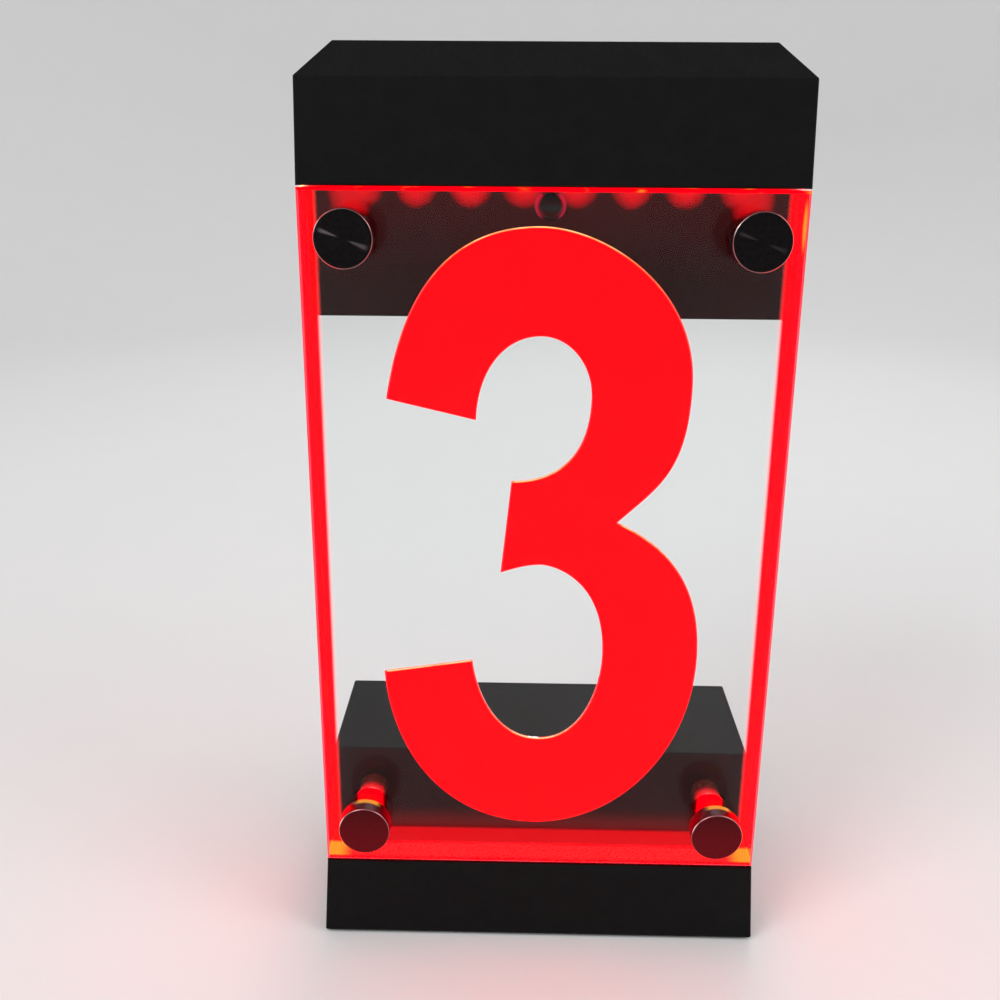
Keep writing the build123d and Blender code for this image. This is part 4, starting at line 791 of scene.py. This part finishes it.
class HOUSESIGN_OT_housings(bpy.types.Operator):
    """Finish the two housings with their covers, door, flap, button and feet"""
    bl_idname = "housesign.housings"
    bl_label = "Housings"

    def execute(self, context):
        dress(lit_housing(context.scene.house_sign_light), "top_shell", "base_shell")
        dress(plain_finish("smooth_black_abs"), "underside_cover", "base_cover")
        dress(plain_finish("matte_abs_door"), "battery_door", "port_flap")
        dress(plain_finish("soft_touch_button"), "power_button", "switch_plunger")
        dress(plain_finish("epdm_rubber"), "rubber_feet")
        dress(plain_finish("foam_gasket"), "door_gasket")
        return {"FINISHED"}


class HOUSESIGN_OT_lamp(bpy.types.Operator):
    """Finish the LED board, its carrier and window, and the dusk sensor"""
    bl_idname = "housesign.lamp"
    bl_label = "LEDs and Sensor"

    def execute(self, context):
        light = context.scene.house_sign_light
        dress(led_package(light), "leds")
        dress(plain_finish("blasted_aluminium"), "led_carrier")
        dress(plain_finish("white_solder_mask"), "led_board")
        window = clear_plastic("clear_window_acrylic", "#FDF4F4", 1.49, 0.02, 0.06, light, 0.15)
        dress(window, "light_window")
        dress(dome_plastic(), "sensor_dome")
        dress(plain_finish("black_polycarbonate"), "sensor_ring", "sensor_element")
        return {"FINISHED"}


class HOUSESIGN_OT_electronics(bpy.types.Operator):
    """Finish the boards, chips, port, switch, cells and leads"""
    bl_idname = "housesign.electronics"
    bl_label = "Electronics"

    def execute(self, context):
        dress(plain_finish("green_solder_mask"), "control_board", "sensor_board")
        dress(plain_finish("moulded_epoxy"), "control_chips", "tact_switch", "battery_holder")
        dress(plain_finish("sintered_ferrite"), "power_inductor")
        dress(plain_finish("capacitor_can"), "capacitors")
        dress(plain_finish("port_shell"), "usb_port")
        dress(plain_finish("nylon_connector"), "lead_connectors")
        dress(plain_finish("cell_shrink_film"), "battery_cells")
        dress(plain_finish("nickel_plated_contact"), "battery_contacts")
        dress(plain_finish("red_pvc_lead"), "led_lead", "battery_lead")
        dress(plain_finish("grey_pvc_lead"), "sensor_lead")
        return {"FINISHED"}


def posed(thing, right, up, back, spot):
    """Stands a lamp or camera at a spot, with its own x, y and z along three directions. It looks along its
    own -z."""
    thing.matrix_world = Matrix([*np.column_stack([right, up, back, spot]).tolist(), [0, 0, 0, 1]])


class HOUSESIGN_OT_stage(bpy.types.Operator):
    """Set up the pale studio, its soft lamps and the camera"""
    bl_idname = "housesign.stage"
    bl_label = "Studio and Camera"

    # Name, place and diameter in metres, and the property that holds its power. All three face the sign.
    LAMPS = (("key_lamp", (-0.9, -0.9, 1.25), 0.9, "key_power"),
             ("fill_lamp", (1.0, -0.5, 0.9), 0.8, "fill_power"),
             ("back_lamp", (0.2, 1.1, 1.1), 0.8, "fill_power"))
    LAMPS_AIM = (0.0, 0.0, 0.15)
    # The camera stands here, turned by yaw, looking down by pitch and tilted by roll, in radians.
    CAMERA_SPOT = (-0.008077, -0.375746, 0.276517)
    YAW, PITCH, ROLL = -0.01939, 0.31849, -0.00681

    def add_floor(self, studio):
        """A round studio: the floor is flat to flat_radius, bends up through a quarter circle and goes on
        straight. P(s, a) = (r(s) cos a, r(s) sin a, h(s)), with a falling, so that its faces point
        inwards."""
        flat, bend, rings = studio.flat_radius, 0.5 * studio.flat_radius, 10
        t = np.linspace(0, np.pi / 2, 24)[1:]
        r = np.concatenate([[0.0], np.linspace(0.05, flat, rings), flat + bend * np.sin(t), [flat + bend]])
        h = np.concatenate([np.zeros(rings + 1), bend * (1 - np.cos(t)), [studio.wall_height]])
        a = -np.linspace(0, 2 * np.pi, 128, endpoint=False)
        grid = np.stack([r[:, None] * np.cos(a), r[:, None] * np.sin(a), h[:, None] + 0 * a], axis=2)
        mesh = surface_mesh("studio_floor", [grid])
        mesh.materials.append(studio_paper(studio))
        add_object("studio_floor", mesh)

    def add_lights(self, scene, studio):
        """An even white sky, and three round soft lamps."""
        scene.world = bpy.data.worlds.new("soft_sky")
        scene.world.use_nodes = True
        sky = scene.world.node_tree.nodes["Background"].inputs
        sky["Color"].default_value = (1.0, 1.0, 1.0, 1.0)
        sky["Strength"].default_value = studio.ambient
        for name, spot, size, power in self.LAMPS:
            lamp = bpy.data.lights.new(name, "AREA")
            lamp.shape, lamp.size, lamp.energy = "DISK", size, getattr(studio, power)
            away = np.array(spot) - self.LAMPS_AIM
            away /= np.linalg.norm(away)
            side = np.cross((0.0, 0.0, 1.0), away)
            side /= np.linalg.norm(side)
            posed(add_object(name, lamp), side, np.cross(away, side), away, spot)

    def add_camera(self, scene, studio):
        """The camera at the angle from which the sign is seen a little from above."""
        yaw, pitch, roll = self.YAW, self.PITCH, self.ROLL
        forth = math.cos(pitch)
        ahead = np.array([math.sin(yaw) * forth, math.cos(yaw) * forth, -math.sin(pitch)])
        right = np.array([math.cos(yaw), -math.sin(yaw), 0.0])
        down = np.cross(ahead, right)
        level = math.cos(roll) * right + math.sin(roll) * down
        lower = -math.sin(roll) * right + math.cos(roll) * down
        view = bpy.data.cameras.new("front_camera")
        view.lens, view.sensor_width = studio.lens / MM, 36.0
        view.clip_start, view.clip_end = 0.01, 50.0
        scene.camera = add_object("front_camera", view)
        posed(scene.camera, level, -lower, -ahead, self.CAMERA_SPOT)

    def execute(self, context):
        scene, studio = context.scene, context.scene.house_sign_studio
        self.add_floor(studio)
        self.add_lights(scene, studio)
        self.add_camera(scene, studio)
        scene.view_settings.view_transform = "Standard"
        return {"FINISHED"}


class HOUSESIGN_PT_panel(bpy.types.Panel):
    """The sign's pieces, one button each, and the sizes and colours that they use"""
    bl_label = "House Sign"
    bl_idname = "HOUSESIGN_PT_panel"
    bl_space_type = "VIEW_3D"
    bl_region_type = "UI"
    bl_category = "House Sign"

    def draw(self, context):
        for operator in OPERATORS:
            self.layout.operator(operator.bl_idname)
        for group, kind in GROUPS.items():
            box = self.layout.box()
            for key in kind.__annotations__:
                box.prop(getattr(context.scene, group), key)


OPERATORS = (HOUSESIGN_OT_plate, HOUSESIGN_OT_numeral, HOUSESIGN_OT_caps, HOUSESIGN_OT_fixings,
             HOUSESIGN_OT_housings, HOUSESIGN_OT_lamp, HOUSESIGN_OT_electronics, HOUSESIGN_OT_stage)
GROUPS = {"house_sign_sizes": HouseSignSizes, "house_sign_light": HouseSignLight,
          "house_sign_studio": HouseSignStudio}
CLASSES = (*GROUPS.values(), *OPERATORS, HOUSESIGN_PT_panel)


def register():
    """Adds the classes, and one group of each kind to every scene."""
    for kind in CLASSES:
        bpy.utils.register_class(kind)
    for name, kind in GROUPS.items():
        setattr(bpy.types.Scene, name, bpy.props.PointerProperty(type=kind))


def unregister():
    """Takes away what register adds."""
    for name in GROUPS:
        delattr(bpy.types.Scene, name)
    for kind in reversed(CLASSES):
        bpy.utils.unregister_class(kind)


def main():
    register()
    for operator in OPERATORS:
        group, name = operator.bl_idname.split(".")
        getattr(getattr(bpy.ops, group), name)()


if __name__ == "__main__":
    main()
